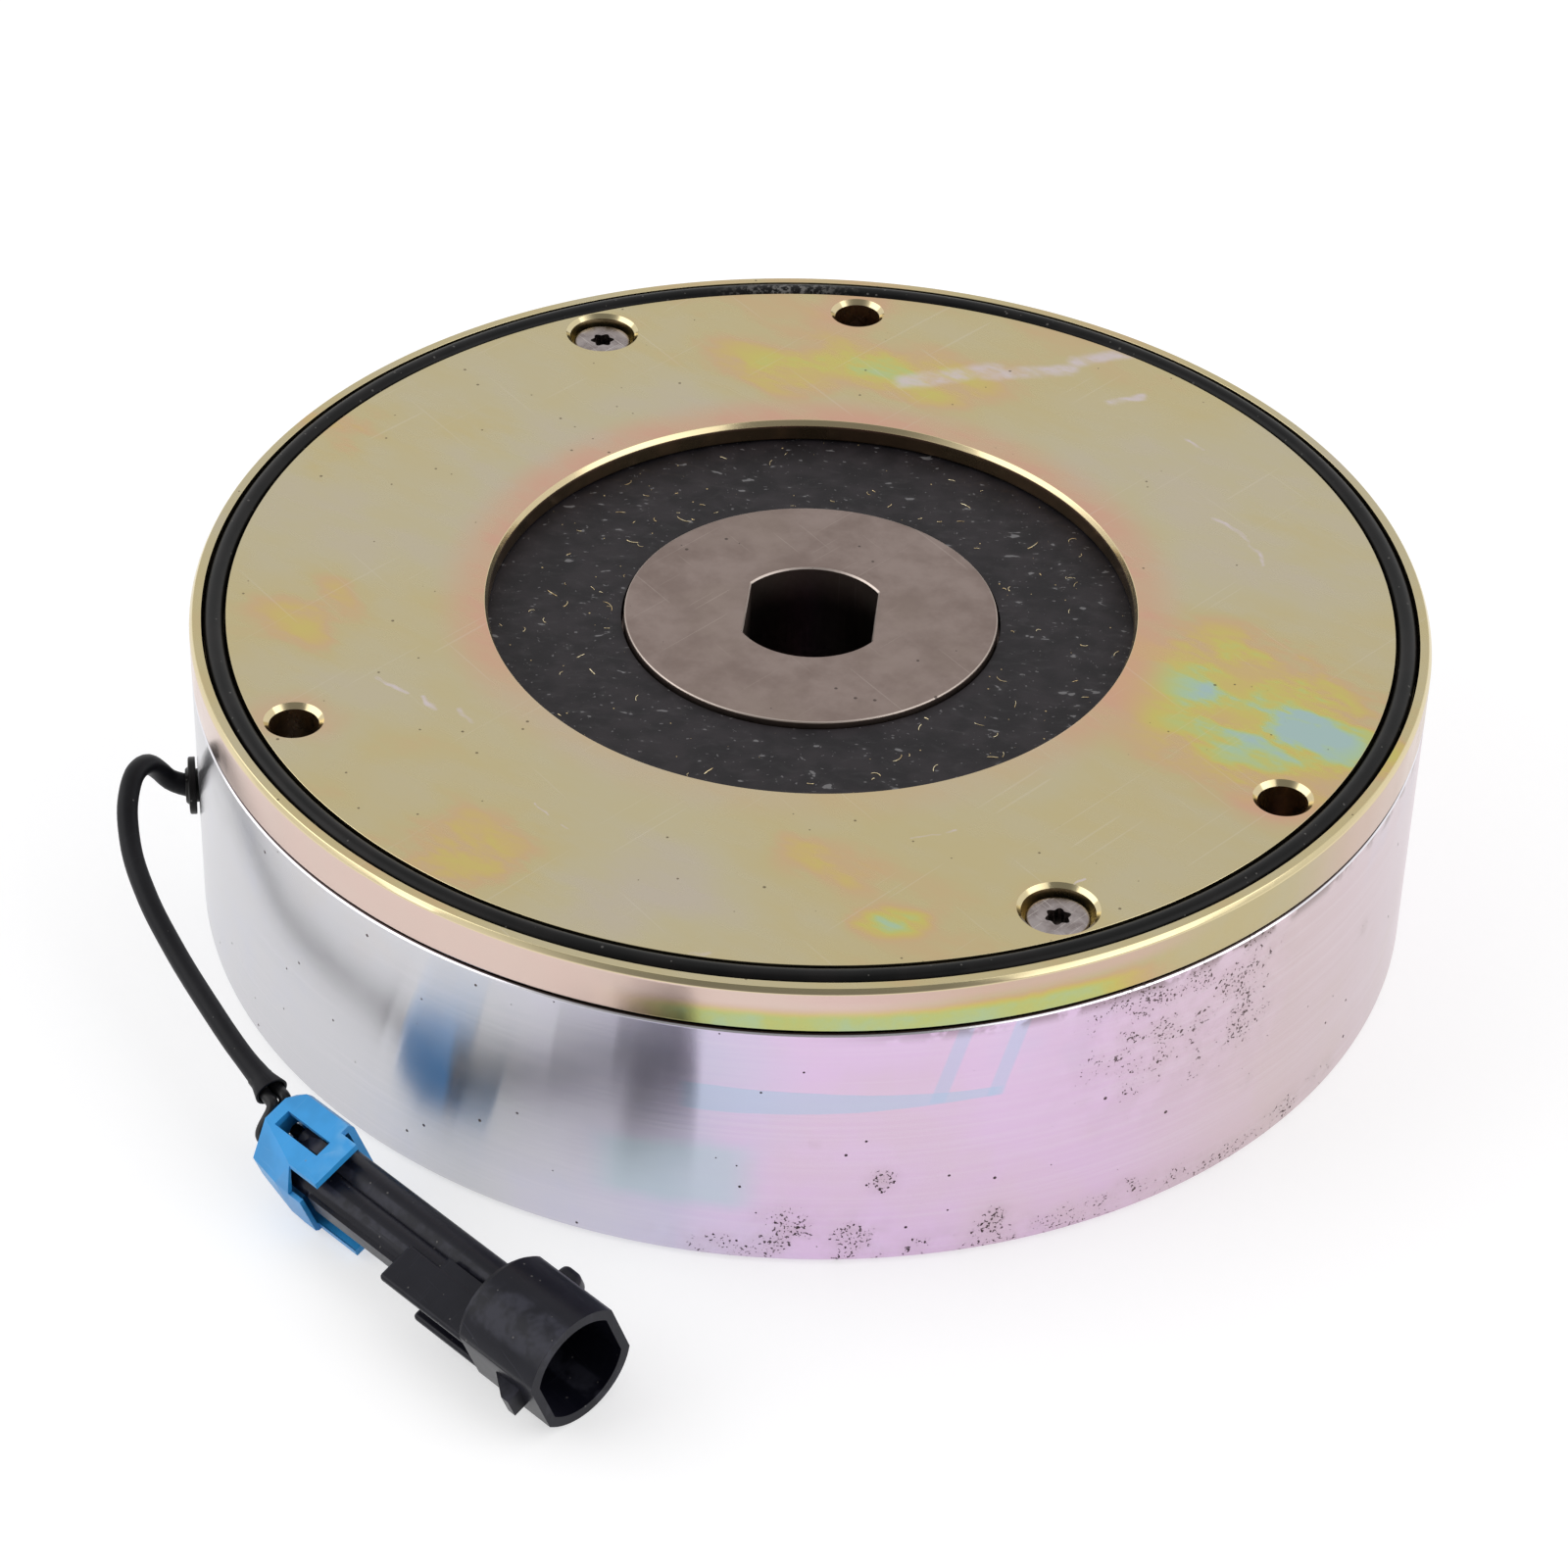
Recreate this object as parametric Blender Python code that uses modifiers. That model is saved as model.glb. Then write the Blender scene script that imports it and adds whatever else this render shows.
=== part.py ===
"""Spring-applied motor brake: a steel magnet body with its coil and springs, an armature
plate, a friction rotor on a double-D hub, and a cover plate with a face seal. A short
sleeved lead runs from the body to a two-way plug.

Metres, +Z up. The origin is the centre of the body's flat back, on the rotor's axis.
"""

import math

import bmesh
import bpy
import numpy
from mathutils import Matrix, Vector

# Clearances
FACE_GAP = 0.0003
RUNNING_GAP = 0.0004

# Magnet body: a turned cup that holds the coil, the springs and the guide pins
BODY_RADIUS = 0.0762
BODY_HEIGHT = 0.0345
RIM_WALL = 0.0147
CAVITY_RADIUS = BODY_RADIUS - RIM_WALL
BODY_EDGE = 0.0006
BACK_EDGE = 0.0008

# Cover plate
COVER_HEIGHT = 0.0061
WEB_THICKNESS = 0.0028
COVER_LEDGE = 0.0040
COVER_RECESS_RADIUS = CAVITY_RADIUS - COVER_LEDGE
COVER_BORE_RADIUS = 0.0398
BORE_EDGE_WIDTH = 0.0005
BORE_EDGE_DEPTH = 0.0010
RIM_EDGE_WIDTH = 0.0004
RIM_EDGE_DEPTH = 0.0007

# Face seal and its groove
SEAL_GROOVE_WALL = 0.0015
SEAL_GROOVE_WIDTH = 0.00295
SEAL_GROOVE_DEPTH = 0.0023
SEAL_SECTION_RADIUS = 0.0012
SEAL_GROOVE_OUTER = BODY_RADIUS - SEAL_GROOVE_WALL
SEAL_GROOVE_INNER = SEAL_GROOVE_OUTER - SEAL_GROOVE_WIDTH

# Bolt holes right through, which fix the brake to the motor
BOLT_INSET = 0.0088
BOLT_CIRCLE_RADIUS = BODY_RADIUS - BOLT_INSET
BOLT_HOLE_RADIUS = 0.0030
BOLT_HOLE_EDGE = 0.0006
BOLT_ANGLES = (90.0, 210.0, 330.0)

# Screws that hold the cover on the body
SCREW_INSET = 0.0095
SCREW_CIRCLE_RADIUS = BODY_RADIUS - SCREW_INSET
SCREW_ANGLES = (120.0, 300.0)
SCREW_RADIUS = 0.0020
SCREW_LENGTH = 0.0120
SCREW_HEAD_RADIUS = 0.0037
SCREW_HEAD_HEIGHT = 0.0022
SCREW_SOCKET_RADIUS = 0.0012
SCREW_SOCKET_LOBE = 0.00042
SCREW_SOCKET_DEPTH = 0.0014
COUNTERBORE_RADIUS = 0.0043
COUNTERBORE_DEPTH = 0.0037
COUNTERBORE_EDGE = 0.0005

# Poles, coil groove and the blind bore for the shaft's end
SHAFT_WELL_RADIUS = 0.0160
SHAFT_WELL_FLOOR = 0.0060
INNER_POLE = 0.375 * (CAVITY_RADIUS - SHAFT_WELL_RADIUS)
OUTER_POLE = 0.25 * (CAVITY_RADIUS - SHAFT_WELL_RADIUS)
COIL_GROOVE_INNER = SHAFT_WELL_RADIUS + INNER_POLE
COIL_GROOVE_OUTER = CAVITY_RADIUS - OUTER_POLE
COIL_GROOVE_DEPTH = 0.0150
POTTING_THICKNESS = 0.0020
BOBBIN_WALL = 0.0010

# Rotor: a moulded friction disc on a steel hub
FRICTION_CLEARANCE = 0.0030
FRICTION_RADIUS = COVER_RECESS_RADIUS - FRICTION_CLEARANCE
FRICTION_THICKNESS = 0.0070
FRICTION_EDGE = 0.0004
HUB_RADIUS = 0.0231
HUB_RISE = 0.0008
HUB_EDGE = 0.0004
HUB_BOSS_CLEARANCE = 0.0020
HUB_BOSS_RADIUS = SHAFT_WELL_RADIUS - HUB_BOSS_CLEARANCE
HUB_BOSS_LENGTH = 0.0062
HUB_LUG_COUNT = 8
HUB_LUG_RADIUS = 0.0290
HUB_LUG_ROOT_RADIUS = 0.0252
HUB_LUG_THICKNESS = 0.0028
HUB_LUG_COVER = 0.0020
SHAFT_BORE_RADIUS = 0.00952
SHAFT_FLATS = 0.01588
SHAFT_EDGE = 0.0005

# Armature plate, which the coil pulls down by its stroke
ARMATURE_CLEARANCE = 0.0010
ARMATURE_RADIUS = CAVITY_RADIUS - ARMATURE_CLEARANCE
ARMATURE_BORE_RADIUS = SHAFT_WELL_RADIUS
ARMATURE_THICKNESS = 0.0060
ARMATURE_EDGE = 0.0005
ARMATURE_STROKE = 0.0005

# Guide pins, which stop the armature from turning
PIN_INSET = 0.0020
PIN_CIRCLE_RADIUS = ARMATURE_RADIUS - PIN_INSET
PIN_ANGLES = (30.0, 150.0, 270.0)
PIN_RADIUS = 0.0025
PIN_DEPTH = 0.0080
PIN_RISE = 0.0033
PIN_EDGE = 0.0004

# Springs between the body and the armature
SPRING_COUNT = 6
SPRING_CIRCLE_RADIUS = SHAFT_WELL_RADIUS + INNER_POLE / 2
SPRING_RADIUS = 0.0030
SPRING_WIRE_RADIUS = 0.00055
SPRING_TURNS = 4
SPRING_POCKET_DEPTH = 0.0100

# Lead: a two-wire sleeve through a rubber grommet in the body's side
LEAD_ANGLE = 192.2
LEAD_HEIGHT = 0.0165
LEAD_HOLE_RADIUS = 0.0024
SLEEVE_RADIUS = 0.0015
GROMMET_FLANGE_RADIUS = 0.0036
GROMMET_FLANGE_THICKNESS = 0.0009
GROMMET_NECK = 0.0004
GROMMET_STUB = 0.0080
WIRE_RADIUS = 0.00075
WIRE_PITCH = 0.0017

# Plug: a moulded two-way housing that lies on the surface beside the body
PLUG_MOUTH = (-0.03964, 0.09829, 0.0076)
PLUG_TURN = 127.65
PLUG_ROLL = 21.0
PLUG_LENGTH = 0.0520
BARREL_RADIUS = 0.00245
BARREL_PITCH = 0.0032
BARREL_OFFSET = 0.0004
REAR_BARREL_RADIUS = 0.0022
REAR_BARREL_START = 0.0034
CAVITY_BORE_RADIUS = 0.00175
SHROUD_LENGTH = 0.0130
SHROUD_RADIUS = 0.00745
SHROUD_WALL = 0.0013
SHROUD_FLATS = 0.0128
SHROUD_DEPTH = 0.0105
SHROUD_SHOULDER = 0.0012
RAIL_THICKNESS = 0.0012
RAIL_SPREAD = 0.0064
RAIL_REACH = 0.0064
UPPER_RAIL_LENGTH = 0.0130
LOWER_RAIL_LENGTH = 0.0095
STEP_LENGTH = 0.0078
STEP_WIDTH = 0.0029
STEP_RISE = 0.0031
RAMP_LENGTH = 0.0045
RAMP_RISE = 0.0019
RAMP_WIDTH = 0.0030
RAMP_FRONT = 0.0028
NUB_REAR = 0.0108
NUB_LENGTH = 0.0043

# Rear lock: a tapered cap over the rear of the plug, with a window over each latch. Its top
# stands this far above the plug's middle and its foot this far below it.
LOCK_LENGTH = 0.0092
LOCK_WALL = 0.0009
LOCK_WIDTH = BARREL_PITCH + 2 * (REAR_BARREL_RADIUS + LOCK_WALL + RUNNING_GAP)
LOCK_RISE = 0.0046
LOCK_DROP = 0.0059
LOCK_NOSE = 0.0017
LOCK_SLANT = 0.0048
LOCK_NOTCH = 0.0072
LOCK_TOP_TONGUE = 0.0027
LOCK_LOWER_TONGUE = 0.0064
WINDOW_LENGTH = 0.0075
WINDOW_WIDTH = 0.0022
WINDOW_START = 0.0016
WINDOW_OFFSET = 0.0010
LATCH_LENGTH = 0.0054
LATCH_WIDTH = 0.0017
LATCH_INSET = 0.0003

# Terminals and wire seals inside the plug
SEAL_RADIUS = 0.00145
SEAL_LENGTH = 0.0050
SEAL_RECESS = 0.0010
BLADE_WIDTH = 0.0015
BLADE_THICKNESS = 0.0008
BLADE_LENGTH = 0.0050
TERMINAL_SIDE = 0.0020
TERMINAL_LENGTH = 0.0120

# Faces round each turned form
WIDE_STEPS = 72
MIDDLE_STEPS = 48
COIL_STEPS = 36
HOLE_STEPS = 16
SMALL_STEPS = 16
WIRE_SIDES = 2
SMOOTH_ANGLE = math.radians(34.0)
CUT_PAST = 0.0010

# Heights worked out from the sizes above
COVER_BOTTOM = BODY_HEIGHT + FACE_GAP
COVER_TOP = COVER_BOTTOM + COVER_HEIGHT
WEB_BOTTOM = COVER_TOP - WEB_THICKNESS
FRICTION_TOP = WEB_BOTTOM - FACE_GAP
FRICTION_BOTTOM = FRICTION_TOP - FRICTION_THICKNESS
HUB_TOP = FRICTION_TOP + HUB_RISE
HUB_LUG_BOTTOM = FRICTION_BOTTOM + HUB_LUG_COVER
HUB_LUG_TOP = HUB_LUG_BOTTOM + HUB_LUG_THICKNESS
ARMATURE_TOP = FRICTION_BOTTOM - FACE_GAP
ARMATURE_BOTTOM = ARMATURE_TOP - ARMATURE_THICKNESS
POLE_FACE = ARMATURE_BOTTOM - ARMATURE_STROKE - FACE_GAP
COIL_GROOVE_FLOOR = POLE_FACE - COIL_GROOVE_DEPTH

# Route of the lead outside the body: how far out from its hole in the body's side, how
# far round the body, and how high above the surface that the body stands on
LEAD_ROUTE = (
    (0.0036, -0.0001, 0.0176),
    (0.0047, 0.0002, 0.0192),
    (0.0060, 0.0016, 0.0213),
    (0.0075, 0.0046, 0.0223),
    (0.0085, 0.0086, 0.0211),
    (0.0084, 0.0137, 0.0186),
    (0.0065, 0.0218, 0.0163),
    (0.0036, 0.0294, 0.0144),
    (-0.0003, 0.0388, 0.0131),
    (-0.0038, 0.0465, 0.0121),
    (-0.0073, 0.0528, 0.0110),
)


def new_collection(name):
    """A collection of this name, linked to the scene."""
    made = bpy.data.collections.new(name)
    bpy.context.scene.collection.children.link(made)
    return made


def clear_scene():
    """Remove every object, so that the script starts from nothing."""
    for obj in list(bpy.data.objects):
        bpy.data.objects.remove(obj, do_unlink=True)


clear_scene()
PARTS = new_collection("motor_brake")
CUTTERS = new_collection("cutters")


def new_material(name, colour, roughness, metallic):
    """A Principled material with one colour."""
    made = bpy.data.materials.new(name)
    made.use_nodes = True
    shader = made.node_tree.nodes["Principled BSDF"]
    shader.inputs["Base Color"].default_value = (*colour, 1.0)
    shader.inputs["Roughness"].default_value = roughness
    shader.inputs["Metallic"].default_value = metallic
    made.diffuse_color = (*colour, 1.0)
    return made


YELLOW_ZINC = new_material("yellow_zinc", (0.60, 0.55, 0.33), 0.28, 1.0)
CLEAR_ZINC = new_material("clear_zinc", (0.70, 0.68, 0.72), 0.20, 1.0)
BRIGHT_STEEL = new_material("bright_steel", (0.55, 0.52, 0.48), 0.35, 1.0)
SCREW_STEEL = new_material("screw_steel", (0.60, 0.58, 0.55), 0.30, 1.0)
SPRING_STEEL = new_material("spring_steel", (0.42, 0.42, 0.43), 0.35, 1.0)
FRICTION_LINING = new_material("friction_lining", (0.045, 0.045, 0.048), 0.75, 0.0)
SEAL_RUBBER = new_material("seal_rubber", (0.015, 0.015, 0.016), 0.45, 0.0)
SLEEVE_PLASTIC = new_material("sleeve_plastic", (0.020, 0.020, 0.022), 0.50, 0.0)
WIRE_PLASTIC = new_material("wire_plastic", (0.025, 0.025, 0.026), 0.40, 0.0)
BLACK_NYLON = new_material("black_nylon", (0.022, 0.022, 0.025), 0.42, 0.0)
BLUE_PLASTIC = new_material("blue_plastic", (0.035, 0.30, 0.68), 0.38, 0.0)
BOBBIN_PLASTIC = new_material("bobbin_plastic", (0.55, 0.52, 0.44), 0.50, 0.0)
COPPER = new_material("copper_winding", (0.62, 0.26, 0.12), 0.35, 1.0)
POTTING_RESIN = new_material("potting_resin", (0.05, 0.045, 0.04), 0.45, 0.0)
TERMINAL_TIN = new_material("terminal_tin", (0.62, 0.62, 0.60), 0.30, 1.0)


def polar(radius, degrees, height=0.0):
    """The point at this radius and angle round the brake's axis."""
    angle = math.radians(degrees)
    return Vector((radius * math.cos(angle), radius * math.sin(angle), height))


def from_outlet(out, along, height):
    """A point beside the body, measured from the lead's hole in its side."""
    return polar(BODY_RADIUS + out, LEAD_ANGLE, height) + polar(along, LEAD_ANGLE + 90.0)


def add_object(name, mesh, material=None):
    """A part with a material, or, without one, a hidden cutter."""
    obj = bpy.data.objects.new(name, mesh)
    if material is None:
        CUTTERS.objects.link(obj)
        obj.hide_render = True
        obj.display_type = "WIRE"
    else:
        PARTS.objects.link(obj)
        mesh.materials.append(material)
    return obj


def bake(obj):
    """Turn an object and its modifiers, or a curve, into a plain mesh object."""
    bpy.context.view_layer.update()
    graph = bpy.context.evaluated_depsgraph_get()
    mesh = bpy.data.meshes.new_from_object(obj.evaluated_get(graph))
    shape = bmesh.new()
    shape.from_mesh(mesh)
    bmesh.ops.remove_doubles(shape, verts=shape.verts, dist=1e-6)
    shape.to_mesh(mesh)
    shape.free()
    if obj.type == "MESH":
        obj.modifiers.clear()
        obj.data = mesh
        return obj
    solid = bpy.data.objects.new(obj.name, mesh)
    solid.matrix_world = obj.matrix_world
    for collection in obj.users_collection:
        collection.objects.link(solid)
    solid.hide_render = obj.hide_render
    solid.display_type = "WIRE" if obj.hide_render else "TEXTURED"
    name = obj.name
    bpy.data.objects.remove(obj)
    solid.name = name
    return solid


def shade(obj):
    """Smooth round faces and keep real edges sharp."""
    obj.data.shade_smooth()
    obj.data.set_sharp_from_angle(angle=SMOOTH_ANGLE)
    return obj


def combine(obj, others, operation):
    """Join or cut an object with others and bake the result."""
    for other in others:
        modifier = obj.modifiers.new(operation.lower(), "BOOLEAN")
        modifier.operation = operation
        modifier.object = other
        modifier.solver = "EXACT"
    return bake(obj)


def cut(obj, cutters):
    """Take the cutters away from an object."""
    return combine(obj, cutters, "DIFFERENCE")


def fuse(obj, others):
    """Join others to an object and remove them."""
    combine(obj, others, "UNION")
    for other in others:
        bpy.data.objects.remove(other)
    return obj


def turned(name, profile, steps, material=None, closed=True):
    """A profile of (radius, height) points turned round Z.

    A closed profile is a ring, listed down its outer side first. An open one starts and
    ends on the axis, top to bottom.
    """
    mesh = bpy.data.meshes.new(name)
    points = [(radius, 0.0, height) for radius, height in profile]
    edges = [(i, i + 1) for i in range(len(points) - 1)]
    if closed:
        edges.append((len(points) - 1, 0))
    mesh.from_pydata(points, edges, [])
    obj = add_object(name, mesh, material)
    screw = obj.modifiers.new("turn", "SCREW")
    screw.axis = "Z"
    screw.steps = steps
    screw.render_steps = steps
    screw.use_merge_vertices = True
    screw.merge_threshold = 0.00001
    return bake(obj)


def edged_hole(name, radius, top, bottom, edge=0.0):
    """A cutter for a round hole with a chamfer of this size at its top."""
    profile = [
        (0.0, top + CUT_PAST),
        (radius + edge + CUT_PAST, top + CUT_PAST),
        (radius, top - edge),
        (radius, bottom),
        (0.0, bottom),
    ]
    if edge == 0.0:
        profile[1:3] = [(radius, top + CUT_PAST)]
    return turned(name, profile, HOLE_STEPS, closed=False)


def box(name, low, high, material=None):
    """A box between two corners."""
    mesh = bpy.data.meshes.new(name)
    shape = bmesh.new()
    low, high = Vector(low), Vector(high)
    size = high - low
    place = Matrix.Translation((low + high) / 2) @ Matrix.Diagonal((*size, 1.0))
    bmesh.ops.create_cube(shape, size=1.0, matrix=place)
    shape.to_mesh(mesh)
    shape.free()
    return add_object(name, mesh, material)


def prism(name, outline, low, high, material=None):
    """A closed outline in XY, extruded from one height to another."""
    curve = bpy.data.curves.new(name, "CURVE")
    curve.dimensions = "2D"
    curve.fill_mode = "BOTH"
    curve.extrude = (high - low) / 2
    spline = curve.splines.new("POLY")
    spline.points.add(len(outline) - 1)
    for point, (x, y) in zip(spline.points, outline):
        point.co = (x, y, 0.0, 1.0)
    spline.use_cyclic_u = True
    obj = add_object(name, curve, material)
    obj.location.z = (high + low) / 2
    solid = bake(obj)
    solid.data.transform(Matrix.Translation((0.0, 0.0, (high + low) / 2)))
    solid.matrix_world = Matrix.Identity(4)
    return solid


def chamfer(obj, width, segments=1):
    """Bevel the sharp edges of an object by this width."""
    modifier = obj.modifiers.new("edges", "BEVEL")
    modifier.width = width
    modifier.segments = segments
    modifier.limit_method = "ANGLE"
    modifier.angle_limit = math.radians(40.0)
    return bake(obj)


def tube(name, points, radius, material, sides=WIRE_SIDES):
    """A round tube with flat ends along a list of points."""
    curve = bpy.data.curves.new(name, "CURVE")
    curve.dimensions = "3D"
    curve.bevel_depth = radius
    curve.bevel_resolution = sides
    curve.use_fill_caps = True
    spline = curve.splines.new("POLY")
    spline.points.add(len(points) - 1)
    for spot, point in zip(spline.points, points):
        spot.co = (*point, 1.0)
    return bake(add_object(name, curve, material))


def smooth_path(route, spacing):
    """Points this far apart along a smooth curve through a route's points."""
    knots = numpy.array([tuple(point) for point in route])
    spans = numpy.linalg.norm(numpy.diff(knots, axis=0), axis=1)
    along = numpy.concatenate([[0.0], numpy.cumsum(spans)])
    slopes = numpy.gradient(knots, along, axis=0)
    count = max(2, round(along[-1] / spacing) + 1)
    path = []
    for spot in numpy.linspace(0.0, along[-1], count):
        i = min(int(numpy.searchsorted(along, spot, side="right")) - 1, len(spans) - 1)
        t = (spot - along[i]) / spans[i]
        start = (2 * t**3 - 3 * t**2 + 1) * knots[i] + (t**3 - 2 * t**2 + t) * spans[i] * slopes[i]
        finish = (3 * t**2 - 2 * t**3) * knots[i + 1] + (t**3 - t**2) * spans[i] * slopes[i + 1]
        path.append(Vector(start + finish))
    return path


def frame_at(origin, forward, up):
    """A placement with X along forward and Z towards up."""
    x = forward.normalized()
    y = up.cross(x).normalized()
    z = x.cross(y)
    place = Matrix((x, y, z)).transposed().to_4x4()
    return Matrix.Translation(origin) @ place


def place(obj, matrix):
    """Move an object's mesh to its place in the brake."""
    obj.data.transform(matrix)
    return obj


def make_cover():
    """The cover plate: rim, seal groove, web and bore, with its bolt and screw holes."""
    groove_floor = COVER_TOP - SEAL_GROOVE_DEPTH
    cover = turned(
        "cover_plate",
        [
            (BODY_RADIUS - RIM_EDGE_WIDTH, COVER_TOP),
            (BODY_RADIUS, COVER_TOP - RIM_EDGE_DEPTH),
            (BODY_RADIUS, COVER_BOTTOM + BODY_EDGE / 2),
            (BODY_RADIUS - BODY_EDGE / 2, COVER_BOTTOM),
            (COVER_RECESS_RADIUS, COVER_BOTTOM),
            (COVER_RECESS_RADIUS, WEB_BOTTOM),
            (COVER_BORE_RADIUS, WEB_BOTTOM),
            (COVER_BORE_RADIUS, COVER_TOP - BORE_EDGE_DEPTH),
            (COVER_BORE_RADIUS + BORE_EDGE_WIDTH, COVER_TOP),
            (SEAL_GROOVE_INNER, COVER_TOP),
            (SEAL_GROOVE_INNER, groove_floor),
            (SEAL_GROOVE_OUTER, groove_floor),
            (SEAL_GROOVE_OUTER, COVER_TOP),
        ],
        WIDE_STEPS,
        YELLOW_ZINC,
    )
    cutters = []
    for number, angle in enumerate(BOLT_ANGLES, 1):
        hole = edged_hole(
            f"cover_bolt_hole_{number}",
            BOLT_HOLE_RADIUS,
            COVER_TOP,
            COVER_BOTTOM - CUT_PAST,
            BOLT_HOLE_EDGE,
        )
        cutters.append(place(hole, Matrix.Translation(polar(BOLT_CIRCLE_RADIUS, angle))))
    for number, angle in enumerate(SCREW_ANGLES, 1):
        spot = Matrix.Translation(polar(SCREW_CIRCLE_RADIUS, angle))
        seat = edged_hole(
            f"counterbore_{number}",
            COUNTERBORE_RADIUS,
            COVER_TOP,
            COVER_TOP - COUNTERBORE_DEPTH,
            COUNTERBORE_EDGE,
        )
        hole = edged_hole(
            f"screw_clearance_{number}",
            SCREW_RADIUS + RUNNING_GAP,
            COVER_TOP,
            COVER_BOTTOM - CUT_PAST,
        )
        cutters += [place(seat, spot), place(hole, spot)]
    return cut(cover, cutters)


def make_seal():
    """The face seal: a rubber ring of round section in the cover's groove."""
    centre_radius = (SEAL_GROOVE_INNER + SEAL_GROOVE_OUTER) / 2
    centre_height = COVER_TOP - SEAL_GROOVE_DEPTH + FACE_GAP + SEAL_SECTION_RADIUS
    section_points = 8
    section = []
    for i in range(section_points):
        angle = -math.tau * i / section_points
        radius = centre_radius + SEAL_SECTION_RADIUS * math.cos(angle)
        section.append((radius, centre_height + SEAL_SECTION_RADIUS * math.sin(angle)))
    return turned("o_ring", section, WIDE_STEPS, SEAL_RUBBER)


def make_screw(number, angle):
    """A cover screw: a low flat head with a six-lobe socket, and its shank."""
    head_bottom = COVER_TOP - COUNTERBORE_DEPTH + FACE_GAP
    head_top = head_bottom + SCREW_HEAD_HEIGHT
    edge = SCREW_HEAD_RADIUS * 0.08
    screw = turned(
        f"cover_screw_{number}",
        [
            (0.0, head_top),
            (SCREW_HEAD_RADIUS - edge, head_top),
            (SCREW_HEAD_RADIUS, head_top - edge),
            (SCREW_HEAD_RADIUS, head_bottom),
            (SCREW_RADIUS, head_bottom),
            (SCREW_RADIUS, head_bottom - SCREW_LENGTH + edge),
            (SCREW_RADIUS - edge, head_bottom - SCREW_LENGTH),
            (0.0, head_bottom - SCREW_LENGTH),
        ],
        HOLE_STEPS,
        SCREW_STEEL,
        closed=False,
    )
    lobe_points = 24
    outline = []
    for i in range(lobe_points):
        turn = math.tau * i / lobe_points
        radius = SCREW_SOCKET_RADIUS + SCREW_SOCKET_LOBE * math.cos(6 * turn)
        outline.append((radius * math.cos(turn), radius * math.sin(turn)))
    socket = prism(f"socket_{number}", outline, head_top - SCREW_SOCKET_DEPTH, head_top + CUT_PAST)
    cut(screw, [socket])
    return place(screw, Matrix.Translation(polar(SCREW_CIRCLE_RADIUS, angle)))


def make_body():
    """The magnet body: rim, poles, coil groove, pockets and the hole for the lead."""
    body = turned(
        "magnet_body",
        [
            (0.0, SHAFT_WELL_FLOOR),
            (SHAFT_WELL_RADIUS, SHAFT_WELL_FLOOR),
            (SHAFT_WELL_RADIUS, POLE_FACE),
            (COIL_GROOVE_INNER, POLE_FACE),
            (COIL_GROOVE_INNER, COIL_GROOVE_FLOOR),
            (COIL_GROOVE_OUTER, COIL_GROOVE_FLOOR),
            (COIL_GROOVE_OUTER, POLE_FACE),
            (CAVITY_RADIUS, POLE_FACE),
            (CAVITY_RADIUS, BODY_HEIGHT),
            (BODY_RADIUS - BODY_EDGE, BODY_HEIGHT),
            (BODY_RADIUS, BODY_HEIGHT - BODY_EDGE),
            (BODY_RADIUS, BACK_EDGE),
            (BODY_RADIUS - BACK_EDGE, 0.0),
            (0.0, 0.0),
        ],
        WIDE_STEPS,
        CLEAR_ZINC,
        closed=False,
    )
    cutters = []
    # Half a facet round, so that no corner of a bolt hole falls on a facet line of the rim
    half_facet = Matrix.Rotation(math.pi / HOLE_STEPS, 4, "Z")
    for number, angle in enumerate(BOLT_ANGLES, 1):
        hole = edged_hole(
            f"body_bolt_hole_{number}", BOLT_HOLE_RADIUS, BODY_HEIGHT, -CUT_PAST
        )
        spot = Matrix.Translation(polar(BOLT_CIRCLE_RADIUS, angle))
        cutters.append(place(hole, spot @ half_facet))
    screw_tip = COVER_TOP - COUNTERBORE_DEPTH + FACE_GAP - SCREW_LENGTH
    for number, angle in enumerate(SCREW_ANGLES, 1):
        hole = edged_hole(
            f"tapped_hole_{number}",
            SCREW_RADIUS + FACE_GAP,
            BODY_HEIGHT,
            screw_tip - SCREW_RADIUS,
        )
        cutters.append(place(hole, Matrix.Translation(polar(SCREW_CIRCLE_RADIUS, angle))))
    for number, angle in enumerate(PIN_ANGLES, 1):
        hole = edged_hole(
            f"pin_hole_{number}", PIN_RADIUS + FACE_GAP, POLE_FACE, POLE_FACE - PIN_DEPTH
        )
        cutters.append(place(hole, Matrix.Translation(polar(PIN_CIRCLE_RADIUS, angle))))
    pocket_radius = SPRING_RADIUS + SPRING_WIRE_RADIUS + RUNNING_GAP
    for number in range(SPRING_COUNT):
        hole = edged_hole(
            f"spring_pocket_{number + 1}",
            pocket_radius,
            POLE_FACE,
            POLE_FACE - SPRING_POCKET_DEPTH,
        )
        spot = polar(SPRING_CIRCLE_RADIUS, 360.0 * number / SPRING_COUNT)
        cutters.append(place(hole, Matrix.Translation(spot)))
    lead_hole = edged_hole(
        "lead_hole",
        LEAD_HOLE_RADIUS,
        BODY_RADIUS + BODY_EDGE,
        (COIL_GROOVE_INNER + COIL_GROOVE_OUTER) / 2,
    )
    cutters.append(place(lead_hole, lead_frame()))
    return cut(body, cutters)


def lead_frame():
    """Local Z along the lead hole, outwards from the brake's axis."""
    outwards = polar(1.0, LEAD_ANGLE)
    turn = Vector((0.0, 0.0, 1.0)).rotation_difference(outwards)
    return Matrix.Translation((0.0, 0.0, LEAD_HEIGHT)) @ turn.to_matrix().to_4x4()


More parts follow.
